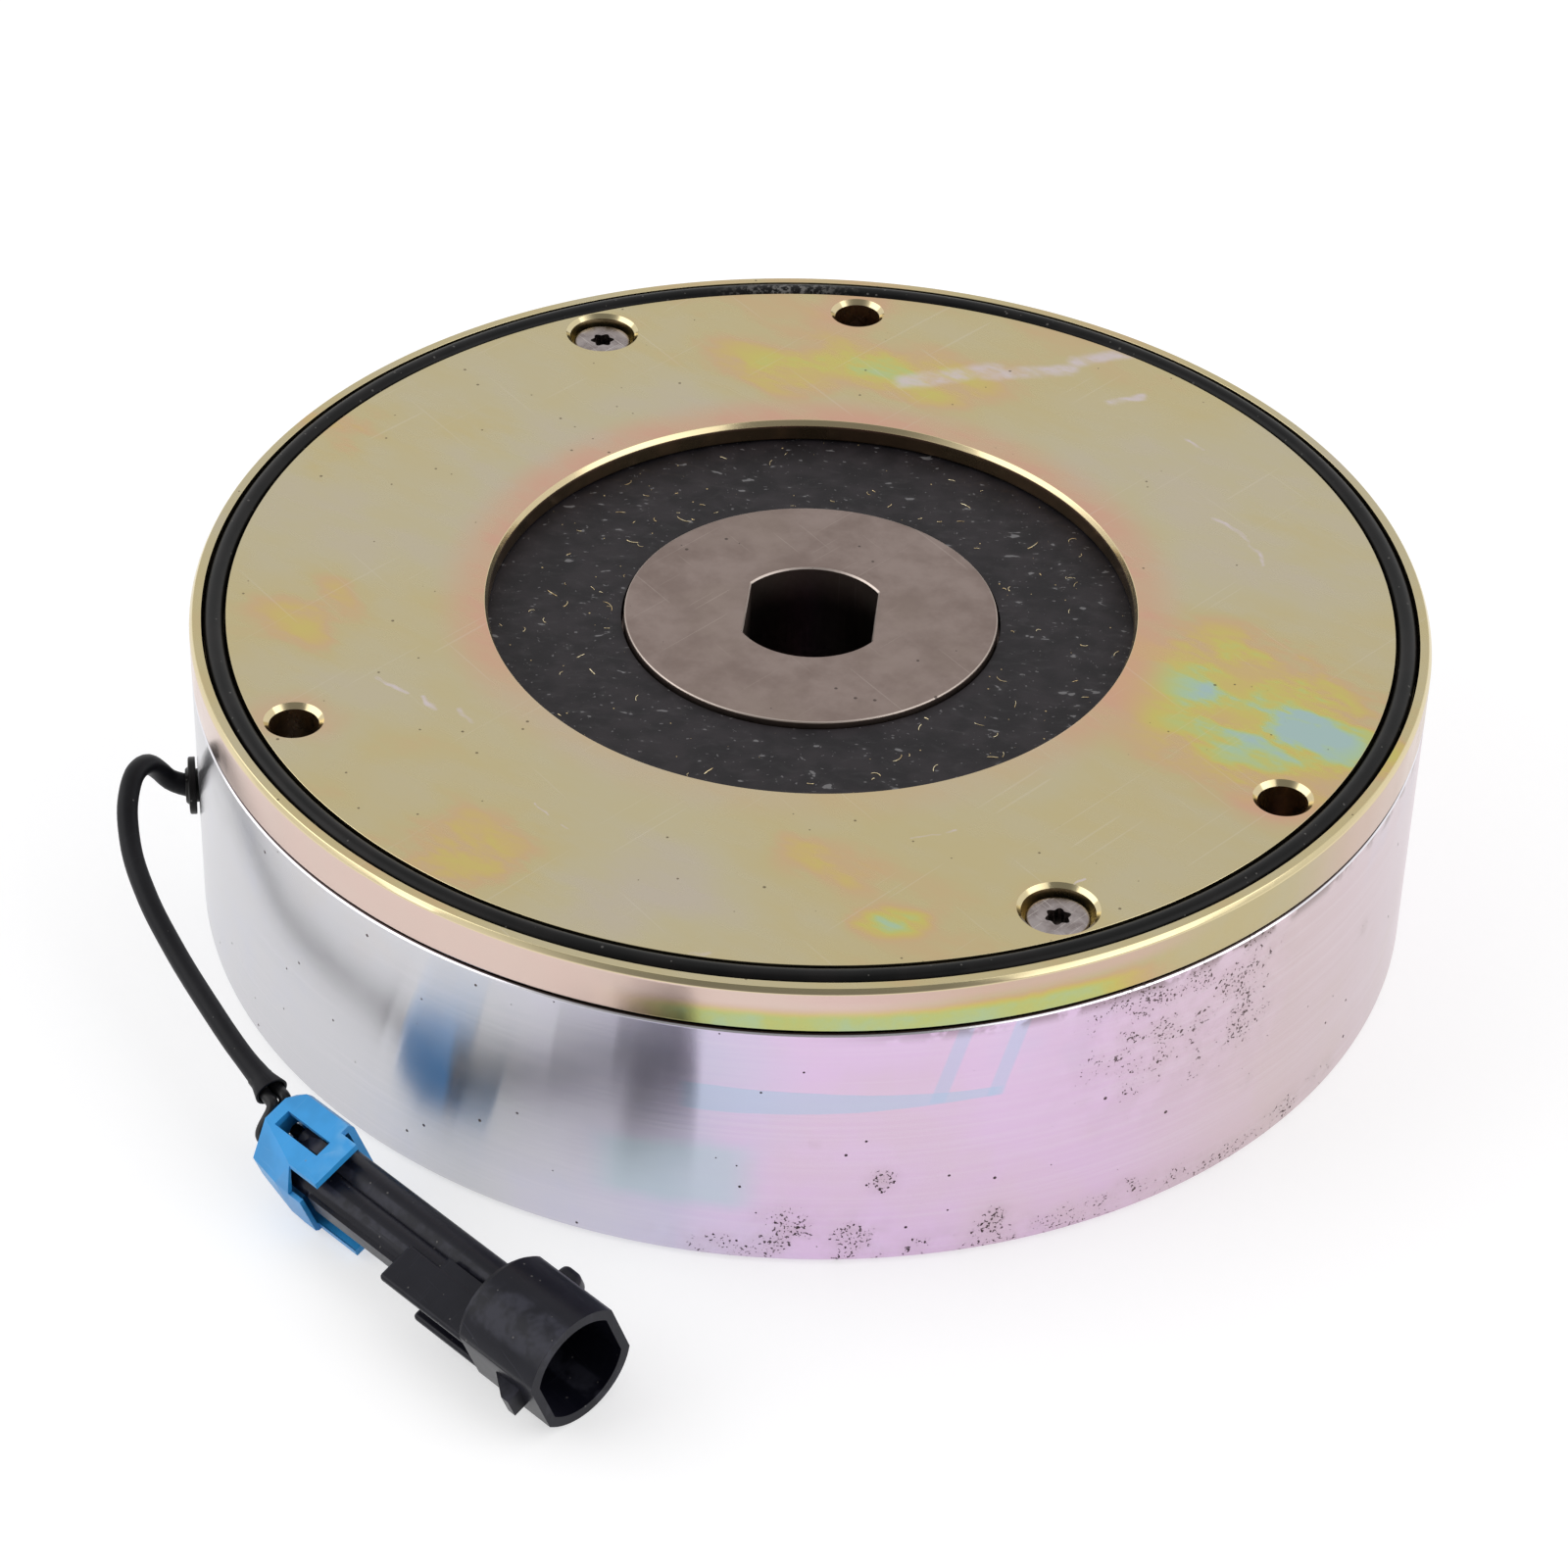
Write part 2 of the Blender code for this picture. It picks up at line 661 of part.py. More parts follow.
def drive_flange(name, clearance, material=None):
    """The hub's lugged flange, grown all round by a clearance."""
    outline = []
    points_per_lug = 6
    count = HUB_LUG_COUNT * points_per_lug
    middle = (HUB_LUG_RADIUS + HUB_LUG_ROOT_RADIUS) / 2
    swing = (HUB_LUG_RADIUS - HUB_LUG_ROOT_RADIUS) / 2
    for i in range(count):
        turn = math.tau * i / count
        wave = math.cos(HUB_LUG_COUNT * turn)
        radius = middle + swing * max(-1.0, min(1.0, 1.8 * wave)) + clearance
        outline.append((radius * math.cos(turn), radius * math.sin(turn)))
    return prism(
        name, outline, HUB_LUG_BOTTOM - clearance, HUB_LUG_TOP + clearance, material
    )


def make_hub():
    """The steel hub: round face, moulded-in lugs, boss and double-D shaft bore."""
    hub = turned(
        "rotor_hub",
        [
            (0.0, HUB_TOP),
            (HUB_RADIUS - HUB_EDGE, HUB_TOP),
            (HUB_RADIUS, HUB_TOP - HUB_EDGE),
            (HUB_RADIUS, FRICTION_BOTTOM),
            (HUB_BOSS_RADIUS, FRICTION_BOTTOM),
            (HUB_BOSS_RADIUS, FRICTION_BOTTOM - HUB_BOSS_LENGTH),
            (0.0, FRICTION_BOTTOM - HUB_BOSS_LENGTH),
        ],
        MIDDLE_STEPS,
        BRIGHT_STEEL,
        closed=False,
    )
    fuse(hub, [drive_flange("hub_lugs", 0.0)])
    half = SHAFT_FLATS / 2
    reach = math.acos(half / SHAFT_BORE_RADIUS)
    arc_points = 11
    bore_bottom = FRICTION_BOTTOM - HUB_BOSS_LENGTH - CUT_PAST
    outline = []
    for side in (math.pi / 2, 3 * math.pi / 2):
        for i in range(arc_points):
            sweep = (math.pi - 2 * reach) * (i / (arc_points - 1) - 0.5)
            outline.append(
                (
                    SHAFT_BORE_RADIUS * math.cos(side + sweep),
                    SHAFT_BORE_RADIUS * math.sin(side + sweep),
                )
            )
    bore = prism("shaft_bore", outline, bore_bottom, HUB_TOP + CUT_PAST)
    return cut(hub, [bore, shaft_edge_cutter(outline)])


def shaft_edge_cutter(outline):
    """The chamfer round the shaft bore's mouth: the bore's outline spread upwards."""
    shape = bmesh.new()
    growth = 1.0 + (SHAFT_EDGE + CUT_PAST) / SHAFT_BORE_RADIUS
    low_height = HUB_TOP - SHAFT_EDGE
    high_height = HUB_TOP + CUT_PAST
    low = [shape.verts.new((x, y, low_height)) for x, y in outline]
    high = [shape.verts.new((x * growth, y * growth, high_height)) for x, y in outline]
    shape.faces.new(list(reversed(low)))
    shape.faces.new(high)
    for i in range(len(outline)):
        j = (i + 1) % len(outline)
        shape.faces.new((low[i], low[j], high[j], high[i]))
    mesh = bpy.data.meshes.new("shaft_bore_edge")
    shape.to_mesh(mesh)
    shape.free()
    return add_object("shaft_bore_edge", mesh)


def make_friction_disc():
    """The friction disc, moulded round the hub and its lugs."""
    bore = HUB_RADIUS + FACE_GAP
    disc = turned(
        "friction_disc",
        [
            (FRICTION_RADIUS - FRICTION_EDGE, FRICTION_TOP),
            (FRICTION_RADIUS, FRICTION_TOP - FRICTION_EDGE),
            (FRICTION_RADIUS, FRICTION_BOTTOM + FRICTION_EDGE),
            (FRICTION_RADIUS - FRICTION_EDGE, FRICTION_BOTTOM),
            (bore, FRICTION_BOTTOM),
            (bore, FRICTION_TOP),
        ],
        MIDDLE_STEPS,
        FRICTION_LINING,
    )
    return cut(disc, [drive_flange("lug_pocket", FACE_GAP)])


def make_armature():
    """The armature plate, notched for the guide pins."""
    plate = turned(
        "armature_plate",
        [
            (ARMATURE_RADIUS - ARMATURE_EDGE, ARMATURE_TOP),
            (ARMATURE_RADIUS, ARMATURE_TOP - ARMATURE_EDGE),
            (ARMATURE_RADIUS, ARMATURE_BOTTOM + ARMATURE_EDGE),
            (ARMATURE_RADIUS - ARMATURE_EDGE, ARMATURE_BOTTOM),
            (ARMATURE_BORE_RADIUS, ARMATURE_BOTTOM),
            (ARMATURE_BORE_RADIUS, ARMATURE_TOP),
        ],
        MIDDLE_STEPS,
        BRIGHT_STEEL,
    )
    notch_radius = PIN_RADIUS + RUNNING_GAP
    past_rim = ARMATURE_RADIUS + notch_radius
    cutters = []
    for number, angle in enumerate(PIN_ANGLES, 1):
        outline = [(past_rim, notch_radius)]
        arc_points = 9
        for i in range(arc_points):
            turn = math.pi * (0.5 + i / (arc_points - 1))
            outline.append(
                (
                    PIN_CIRCLE_RADIUS + notch_radius * math.cos(turn),
                    notch_radius * math.sin(turn),
                )
            )
        outline.append((past_rim, -notch_radius))
        notch = prism(
            f"pin_notch_{number}",
            outline,
            ARMATURE_BOTTOM - CUT_PAST,
            ARMATURE_TOP + CUT_PAST,
        )
        cutters.append(place(notch, Matrix.Rotation(math.radians(angle), 4, "Z")))
    return cut(plate, cutters)


def make_guide_pin(number, angle):
    """A guide pin that stands in the pole and passes through an armature notch."""
    top = ARMATURE_TOP + PIN_RISE
    bottom = POLE_FACE - PIN_DEPTH + FACE_GAP
    pin = turned(
        f"guide_pin_{number}",
        [
            (0.0, top),
            (PIN_RADIUS - PIN_EDGE, top),
            (PIN_RADIUS, top - PIN_EDGE),
            (PIN_RADIUS, bottom),
            (0.0, bottom),
        ],
        SMALL_STEPS,
        BRIGHT_STEEL,
        closed=False,
    )
    return place(pin, Matrix.Translation(polar(PIN_CIRCLE_RADIUS, angle)))


def make_spring(number):
    """A brake spring: one coil between its pocket's floor and the armature."""
    low = POLE_FACE - SPRING_POCKET_DEPTH + FACE_GAP + SPRING_WIRE_RADIUS
    high = ARMATURE_BOTTOM - FACE_GAP - SPRING_WIRE_RADIUS
    turn_points = 6
    count = SPRING_TURNS * turn_points
    centre = polar(SPRING_CIRCLE_RADIUS, 360.0 * number / SPRING_COUNT)
    points = []
    for i in range(count + 1):
        angle = math.tau * i / turn_points
        part = i / count
        height = low + (high - low) * part
        points.append(
            centre
            + Vector((SPRING_RADIUS * math.cos(angle), SPRING_RADIUS * math.sin(angle), height))
        )
    return tube(f"spring_{number + 1}", points, SPRING_WIRE_RADIUS, SPRING_STEEL, sides=1)


def ring(name, inner, outer, low, high, steps, material):
    """A plain ring of square section."""
    return turned(name, [(outer, high), (outer, low), (inner, low), (inner, high)], steps, material)


def make_coil():
    """The coil: bobbin, copper winding and the resin that seals the groove."""
    inner = COIL_GROOVE_INNER + FACE_GAP
    outer = COIL_GROOVE_OUTER - FACE_GAP
    potting_top = POLE_FACE - FACE_GAP
    potting_bottom = potting_top - POTTING_THICKNESS
    top = potting_bottom - FACE_GAP
    bottom = COIL_GROOVE_FLOOR + FACE_GAP
    core = inner + BOBBIN_WALL
    bobbin = turned(
        "coil_bobbin",
        [
            (outer, top),
            (outer, top - BOBBIN_WALL),
            (core, top - BOBBIN_WALL),
            (core, bottom + BOBBIN_WALL),
            (outer, bottom + BOBBIN_WALL),
            (outer, bottom),
            (inner, bottom),
            (inner, top),
        ],
        COIL_STEPS,
        BOBBIN_PLASTIC,
    )
    winding = ring(
        "coil_winding",
        core + FACE_GAP,
        outer - BOBBIN_WALL,
        bottom + BOBBIN_WALL + FACE_GAP,
        top - BOBBIN_WALL - FACE_GAP,
        COIL_STEPS,
        COPPER,
    )
    potting = ring(
        "coil_potting", inner, outer, potting_bottom, potting_top, COIL_STEPS, POTTING_RESIN
    )
    return [bobbin, winding, potting]


def make_grommet():
    """The rubber grommet that the lead passes through."""
    face = BODY_RADIUS + FACE_GAP
    flange_top = face + GROMMET_FLANGE_THICKNESS
    inner = SLEEVE_RADIUS + FACE_GAP
    stub = LEAD_HOLE_RADIUS - FACE_GAP
    soft = GROMMET_FLANGE_THICKNESS / 3
    grommet = turned(
        "cable_grommet",
        [
            (stub, flange_top + GROMMET_NECK),
            (stub + soft, flange_top),
            (GROMMET_FLANGE_RADIUS - soft, flange_top),
            (GROMMET_FLANGE_RADIUS, flange_top - soft),
            (GROMMET_FLANGE_RADIUS, face),
            (stub, face),
            (stub, face - GROMMET_STUB),
            (inner, face - GROMMET_STUB),
            (inner, flange_top + GROMMET_NECK),
        ],
        HOLE_STEPS,
        SEAL_RUBBER,
    )
    return place(grommet, lead_frame())


def lead_path():
    """The sleeve's centre line, from the coil groove to the back of the plug."""
    inside = [COIL_GROOVE_OUTER + FACE_GAP, COIL_GROOVE_OUTER + 0.009, BODY_RADIUS - 0.008]
    leaving = [BODY_RADIUS - 0.002, BODY_RADIUS + 0.0010]
    straight = [polar(radius, LEAD_ANGLE, LEAD_HEIGHT) for radius in inside + leaving]
    outside = [from_outlet(*point) for point in LEAD_ROUTE]
    return smooth_path(straight + outside, 1.6 * SLEEVE_RADIUS)


def plug_frame():
    """X along the plug towards its mouth, Y across its two ways, Z out of its top face."""
    forward = polar(1.0, LEAD_ANGLE + PLUG_TURN)
    roll = Matrix.Rotation(math.radians(PLUG_ROLL), 4, "X")
    start = from_outlet(*PLUG_MOUTH) - PLUG_LENGTH * forward
    return frame_at(start, forward, Vector((0.0, 0.0, 1.0))) @ roll


def barrel_centres():
    """The two ways' places across the plug."""
    return [BARREL_OFFSET - BARREL_PITCH / 2, BARREL_OFFSET + BARREL_PITCH / 2]


def along_x(name, outline, start, end, material=None):
    """An outline across the plug, extruded along it."""
    solid = prism(name, outline, start, end, material)
    turn = Matrix(((0, 0, 1, 0), (1, 0, 0, 0), (0, 1, 0, 0), (0, 0, 0, 1)))
    return place(solid, turn)


def circle(radius, count, centre=0.0):
    """Points round a circle that lies across the plug."""
    points = []
    for i in range(count):
        angle = math.tau * (i + 0.5) / count
        points.append((centre + radius * math.cos(angle), radius * math.sin(angle)))
    return points


def flatted(radius, flats, arc_points=9):
    """A circle with two flats square to the plug's width."""
    reach = math.acos(min(1.0, flats / 2 / radius))
    points = []
    for side in (math.pi / 2, 3 * math.pi / 2):
        for i in range(arc_points):
            sweep = (math.pi - 2 * reach) * (i / (arc_points - 1) - 0.5)
            points.append(
                (radius * math.cos(side + sweep), radius * math.sin(side + sweep))
            )
    return points


def wedge(name, outline, low, high, material=None):
    """An outline along the plug and across its width, between two heights."""
    return prism(name, outline, low, high, material)


def make_plug_housing():
    """The plug's housing: two barrels, clip rails, step, shroud, ramps and latches."""
    shroud_start = PLUG_LENGTH - SHROUD_LENGTH
    housing = along_x(
        "connector_body",
        flatted(SHROUD_RADIUS, SHROUD_FLATS),
        shroud_start + SHROUD_SHOULDER,
        PLUG_LENGTH,
        BLACK_NYLON,
    )
    rear = REAR_BARREL_START
    pieces = []
    lock_end = LOCK_LENGTH + RUNNING_GAP
    for number, centre in enumerate(barrel_centres(), 1):
        for name, radius, start in (
            ("barrel", BARREL_RADIUS, lock_end),
            ("rear_barrel", REAR_BARREL_RADIUS, rear),
        ):
            pieces.append(
                along_x(
                    f"{name}_{number}",
                    circle(radius, SMALL_STEPS, centre),
                    start,
                    shroud_start + 2 * SHROUD_SHOULDER,
                )
            )
    pieces.append(make_shoulder(shroud_start))
    pieces += make_rails(shroud_start)
    pieces += make_latches(rear)
    pieces += make_ramps()
    fuse(housing, pieces)
    cutters = [
        along_x(
            "shroud_hollow",
            flatted(SHROUD_RADIUS - SHROUD_WALL, SHROUD_FLATS - 1.7 * SHROUD_WALL),
            PLUG_LENGTH - SHROUD_DEPTH,
            PLUG_LENGTH + CUT_PAST,
        )
    ]
    for number, centre in enumerate(barrel_centres(), 1):
        cutters.append(
            along_x(
                f"way_{number}",
                circle(CAVITY_BORE_RADIUS, 12, centre),
                rear - CUT_PAST,
                PLUG_LENGTH - SHROUD_DEPTH + CUT_PAST,
            )
        )
    cut(housing, cutters)
    return place(housing, plug_frame())


def make_shoulder(shroud_start):
    """The shroud's rounded rear shoulder, drawn in to meet the barrels."""
    shoulder = along_x(
        "shoulder",
        flatted(SHROUD_RADIUS - SHROUD_SHOULDER, SHROUD_FLATS - 2 * SHROUD_SHOULDER),
        shroud_start,
        shroud_start + 2 * SHROUD_SHOULDER,
    )
    return shoulder


def make_rails(shroud_start):
    """Clip rails on one side of the plug, and the step on its lower barrel."""
    rail_end = shroud_start + 2 * SHROUD_SHOULDER
    half = RAIL_SPREAD / 2
    inner = barrel_centres()[0]
    rails = []
    for name, low, length in (
        ("upper_rail", half - RAIL_THICKNESS, UPPER_RAIL_LENGTH),
        ("lower_rail", -half, LOWER_RAIL_LENGTH),
    ):
        rails.append(
            box(
                name,
                (shroud_start - length, -RAIL_REACH, low),
                (rail_end, inner, low + RAIL_THICKNESS),
            )
        )
    side = box(
        "side_rail",
        (LOCK_LENGTH + 2 * RUNNING_GAP, inner - BARREL_RADIUS - 0.0001, -0.0016),
        (rail_end, inner, 0.0014),
    )
    step = box(
        "lower_step",
        (shroud_start - STEP_LENGTH, inner - STEP_WIDTH / 2 - 0.0003, 0.0),
        (rail_end, inner + STEP_WIDTH / 2 - 0.0001, STEP_RISE),
    )
    return rails + [chamfer(side, 0.0003), chamfer(step, 0.0006)]


def make_latches(rear):
    """A sloped latch on the top and bottom of the barrels, seen in the lock's windows."""
    latch_end = WINDOW_START + WINDOW_LENGTH - LATCH_INSET
    latch_start = latch_end - LATCH_LENGTH
    top = LOCK_RISE - 0.0004
    foot = BARREL_RADIUS * 0.6
    slope = [(latch_start, foot), (latch_end - 0.0012, top), (latch_end, top), (latch_end, foot)]
    latches = []
    for name, sign in (("upper_latch", 1.0), ("lower_latch", -1.0)):
        latch = prism(name, slope, -LATCH_WIDTH / 2, LATCH_WIDTH / 2)
        stand = Matrix(((1, 0, 0, 0), (0, 0, -sign, 0), (0, sign, 0, 0), (0, 0, 0, 1)))
        place(latch, stand)
        place(latch, Matrix.Translation((0.0, WINDOW_OFFSET, 0.0)))
        latches.append(latch)
    return latches


def make_ramps():
    """The two locking ramps on the shroud's flats."""
    flat = SHROUD_FLATS / 2
    root = flat - RUNNING_GAP
    front = PLUG_LENGTH - RAMP_FRONT
    ramp = [
        (front - RAMP_LENGTH, -root),
        (front, -root),
        (front, -flat - RAMP_RISE),
        (front - RAMP_LENGTH / 4, -flat - RAMP_RISE),
    ]
    rear = PLUG_LENGTH - NUB_REAR
    tab = [
        (rear, root),
        (rear + NUB_LENGTH * 0.07, flat + RAMP_RISE),
        (rear + NUB_LENGTH * 0.67, flat + RAMP_RISE),
        (rear + NUB_LENGTH, root),
    ]
    lower = wedge("lower_ramp", ramp, -RAMP_WIDTH / 2, RAMP_WIDTH / 2)
    upper = wedge("upper_ramp", tab, -RAMP_WIDTH / 2, RAMP_WIDTH / 2)
    return [lower, upper]


def lock_section(left_top, left, low, right, right_top, inset):
    """The lock's outline at one place along it, drawn in by an inset all round.

    The first five are shares of its half width, and low is a share of its drop.
    """
    half = LOCK_WIDTH / 2
    middle = BARREL_OFFSET
    top = LOCK_RISE - inset
    foot = low * LOCK_DROP - inset
    left_side = middle - left * half + 0.65 * inset
    right_side = middle + right * half - inset
    return [
        (middle + right_top * half - inset / 2, top),
        (middle - left_top * half - inset / 8, top),
        (left_side, 0.17 * LOCK_RISE - inset / 4),
        (left_side, -0.93 * foot),
        (left_side + 0.08 * half, -foot),
        (middle + right_top * half - inset / 2, -foot),
        (right_side, -0.83 * foot),
        (right_side, 0.78 * top),
    ]


def lock_form(name, inset, start, finish, material=None):
    """The lock's tapered form, or the hollow in it, from its nose to its tongues."""
    shapes = [
        (0.0, 0.12, 0.84, 0.50, 0.80, 0.53),
        (LOCK_NOSE, 0.24, 0.89, 0.68, 1.00, 0.90),
        (LOCK_SLANT, 0.45, 0.98, 1.00, 1.00, 0.90),
        (LOCK_NOTCH, 0.63, 1.00, 1.00, 1.00, 0.90),
        (finish, 0.63, 1.00, 1.00, 1.00, 0.90),
    ]
    rings = []
    for x, *shares in shapes:
        rings.append([(max(x, start), y, z) for y, z in lock_section(*shares, inset)])
    mesh = bpy.data.meshes.new(name)
    shape = bmesh.new()
    loops = [[shape.verts.new(point) for point in ring] for ring in rings]
    shape.faces.new(loops[0])
    shape.faces.new(loops[-1])
    for first, second in zip(loops, loops[1:]):
        for i in range(len(first)):
            j = (i + 1) % len(first)
            shape.faces.new((first[i], first[j], second[j], second[i]))
    bmesh.ops.triangulate(shape, faces=shape.faces)
    bmesh.ops.recalc_face_normals(shape, faces=shape.faces)
    shape.to_mesh(mesh)
    shape.free()
    return add_object(name, mesh, material)


def make_lock():
    """The blue rear lock: a tapered cap with windows, tongues and holes for the wires."""
    half_width = LOCK_WIDTH / 2
    centre = BARREL_OFFSET
    full_length = LOCK_LENGTH + LOCK_LOWER_TONGUE
    past = half_width + LOCK_DROP
    far = full_length + CUT_PAST
    lock = lock_form("connector_lock", 0.0, 0.0, full_length, BLUE_PLASTIC)
    left_top, left_low = centre - 0.65 * half_width, centre - 0.85 * half_width
    right_top, right_low = centre + 0.66 * half_width, centre + 0.80 * half_width
    notch_height = 0.12 * LOCK_RISE
    window_side = WINDOW_WIDTH / 2
    window_end = WINDOW_START + WINDOW_LENGTH
    cutters = [
        box("trim_1", (LOCK_NOTCH, centre - past, notch_height), (far, left_top, past)),
        box("trim_2", (LOCK_LENGTH, centre - past, -past), (far, left_low, 2 * notch_height)),
        box("trim_3", (LOCK_LENGTH, right_top, -CUT_PAST), (far, centre + past, past)),
        box("trim_4", (LOCK_LENGTH, right_low, -past), (far, centre + past, CUT_PAST)),
        box(
            "trim_5",
            (LOCK_LENGTH + LOCK_TOP_TONGUE, centre - past, 0.0),
            (far, centre + past, past),
        ),
        lock_form("lock_hollow", LOCK_WALL, LOCK_WALL, far),
        box(
            "upper_window",
            (WINDOW_START, WINDOW_OFFSET - window_side, 0.0),
            (window_end, WINDOW_OFFSET + window_side, past),
        ),
        box(
            "lower_window",
            (LOCK_SLANT + FACE_GAP, WINDOW_OFFSET - window_side, -past),
            (window_end, WINDOW_OFFSET + window_side, 0.0),
        ),
    ]
    for number, way in enumerate(barrel_centres(), 1):
        cutters.append(
            along_x(
                f"wire_hole_{number}",
                circle(WIRE_RADIUS + FACE_GAP, 12, way),
                -CUT_PAST,
                LOCK_WALL + CUT_PAST,
            )
        )
    cut(lock, cutters)
    return place(lock, plug_frame())


def make_wire(number, way, path_end, path_heading):
    """One wire, from the sleeve's end into its seal in the plug."""
    to_plug = plug_frame()
    shift = (number - 1.5) * WIRE_PITCH
    across = Vector((0.0, 0.0, 1.0)).cross(path_heading).normalized()
    leave = path_end + across * shift + path_heading * FACE_GAP
    seal_start = REAR_BARREL_START + SEAL_RECESS
    inside = seal_start + SEAL_LENGTH
    route = [
        leave,
        leave + path_heading * 0.0012,
        to_plug @ Vector((-0.0016, way, 0.0003)),
        to_plug @ Vector((0.0002, way, 0.0)),
        to_plug @ Vector((LOCK_WALL, way, 0.0)),
        to_plug @ Vector((inside, way, 0.0)),
    ]
    return tube(f"lead_wire_{number}", smooth_path(route, 1.3 * WIRE_RADIUS), WIRE_RADIUS, WIRE_PLASTIC)


def make_wire_seal(number, way):
    """A rubber seal round a wire, in the back of its barrel."""
    start = REAR_BARREL_START + SEAL_RECESS
    inner = WIRE_RADIUS + FACE_GAP
    seal = along_x(
        f"wire_seal_{number}", circle(SEAL_RADIUS, 12, way), start, start + SEAL_LENGTH, SEAL_RUBBER
    )
    hole = along_x(
        f"wire_seal_hole_{number}",
        circle(inner, 12, way),
        start - CUT_PAST,
        start + SEAL_LENGTH + CUT_PAST,
    )
    cut(seal, [hole])
    return place(seal, plug_frame())


def make_terminal(number, way):
    """A terminal: its box in the barrel and its blade in the shroud."""
    floor = PLUG_LENGTH - SHROUD_DEPTH
    start = floor - TERMINAL_LENGTH
    side = TERMINAL_SIDE / 2
    terminal = box(
        f"terminal_{number}", (start, way - side, -side), (floor, way + side, side), TERMINAL_TIN
    )
    blade = box(
        f"blade_{number}",
        (floor - side, way - BLADE_WIDTH / 2, -BLADE_THICKNESS / 2),
        (floor + BLADE_LENGTH, way + BLADE_WIDTH / 2, BLADE_THICKNESS / 2),
    )
    fuse(terminal, [chamfer(blade, 0.0002)])
    return place(terminal, plug_frame())


def make_lead_and_plug():
    """The grommet, sleeve, wires and everything in the plug."""
    path = lead_path()
    heading = (path[-1] - path[-2]).normalized()
    parts = [make_grommet(), tube("cable_sleeve", path, SLEEVE_RADIUS, SLEEVE_PLASTIC)]
    for number, way in enumerate(barrel_centres(), 1):
        parts.append(make_wire(number, way, path[-1], heading))
        parts.append(make_wire_seal(number, way))
        parts.append(make_terminal(number, way))
    return parts + [make_plug_housing(), make_lock()]


def main():
    """Build every part of the brake."""
    parts = [
        make_cover(),
        make_seal(),
        make_body(),
        make_hub(),
        make_friction_disc(),
        make_armature(),
    ]
    for number, angle in enumerate(SCREW_ANGLES, 1):
        parts.append(make_screw(number, angle))
    for number, angle in enumerate(PIN_ANGLES, 1):
        parts.append(make_guide_pin(number, angle))
    for number in range(SPRING_COUNT):
        parts.append(make_spring(number))
    parts += make_coil()
    parts += make_lead_and_plug()
    for part in parts:
        shade(part)


main()
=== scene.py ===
"""Looks of the motor brake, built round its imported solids. Metres, +Z up."""

import math
import random

import bmesh
import bpy
import numpy
from mathutils import Matrix, Vector


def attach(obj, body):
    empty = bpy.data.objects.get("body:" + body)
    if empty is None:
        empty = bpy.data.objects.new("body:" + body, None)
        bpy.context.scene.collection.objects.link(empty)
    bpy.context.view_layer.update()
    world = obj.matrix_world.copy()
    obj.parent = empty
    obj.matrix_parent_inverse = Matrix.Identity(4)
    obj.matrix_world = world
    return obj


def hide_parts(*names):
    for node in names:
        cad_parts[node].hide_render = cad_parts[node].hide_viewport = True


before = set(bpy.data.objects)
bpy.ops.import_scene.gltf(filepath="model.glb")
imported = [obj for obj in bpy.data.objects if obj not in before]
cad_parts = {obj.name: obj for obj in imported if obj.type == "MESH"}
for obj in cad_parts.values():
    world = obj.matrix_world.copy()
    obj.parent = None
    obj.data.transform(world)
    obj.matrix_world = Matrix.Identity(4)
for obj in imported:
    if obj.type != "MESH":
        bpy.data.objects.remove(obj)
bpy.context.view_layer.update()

# Sizes, as in the solids
MM = 0.001
PAST = 0.001  # how far a cutter goes past the face it cuts
UP = Vector((0.0, 0.0, 1.0))
GAP = 0.0003
BODY_R = 0.0762
BODY_TOP = 0.0345
COVER_LOW = BODY_TOP + GAP
COVER_TOP = COVER_LOW + 0.0061
WEB_LOW = COVER_TOP - 0.0028
DISC_TOP = WEB_LOW - GAP
DISC_LOW = DISC_TOP - 0.0070
HUB_TOP = DISC_TOP + 0.0008
LUG_LOW = DISC_LOW + 0.0020
LUG_TOP = LUG_LOW + 0.0028
ARM_TOP = DISC_LOW - GAP
ARM_LOW = ARM_TOP - 0.0060
POLE = ARM_LOW - 0.0005 - GAP
CAVITY_R, LEDGE_R = 0.0615, 0.0575
WELL_R, WELL_FLOOR = 0.0160, 0.0060
POLE_SPAN = CAVITY_R - WELL_R
COIL_IN = WELL_R + 0.375 * POLE_SPAN
COIL_OUT = CAVITY_R - 0.25 * POLE_SPAN
COIL_LOW = POLE - 0.0150
BORE_R = 0.0398
GROOVE_OUT = BODY_R - 0.0015
GROOVE_IN = GROOVE_OUT - 0.00295
GROOVE_DEPTH = 0.0023
BOLT_R, BOLT_CIRCLE, BOLT_ANGLES = 0.0030, 0.0674, (90.0, 210.0, 330.0)
SCREW_CIRCLE, SCREW_ANGLES = 0.0667, (120.0, 300.0)
SCREW_SEAT, SCREW_TURNS = COVER_TOP - 0.0037, (12.0, 24.0)
PIN_CIRCLE, PIN_ANGLES, PIN_R = 0.0585, (30.0, 150.0, 270.0), 0.0025
SPRING_CIRCLE = WELL_R + 0.1875 * POLE_SPAN
SPRING_R, SPRING_WIRE_R, SPRING_HOLE_R, SPRING_DEPTH = 0.003, 0.00055, 0.00395, 0.0100
SPRING_ANGLES = (0.0, 60.0, 120.0, 180.0, 240.0, 300.0)
PIN_DEPTH = 0.0080
HUB_R, BOSS_R, DISC_R, FIBRES = 0.0231, 0.0140, 0.0545, 84
SHAFT_R, SHAFT_FLATS, BOSS_LENGTH = 0.00952, 0.00794, 0.0062
LUG_R, LUG_RISE = 0.0271, 0.0019
SEAL_RING_R = 0.0012
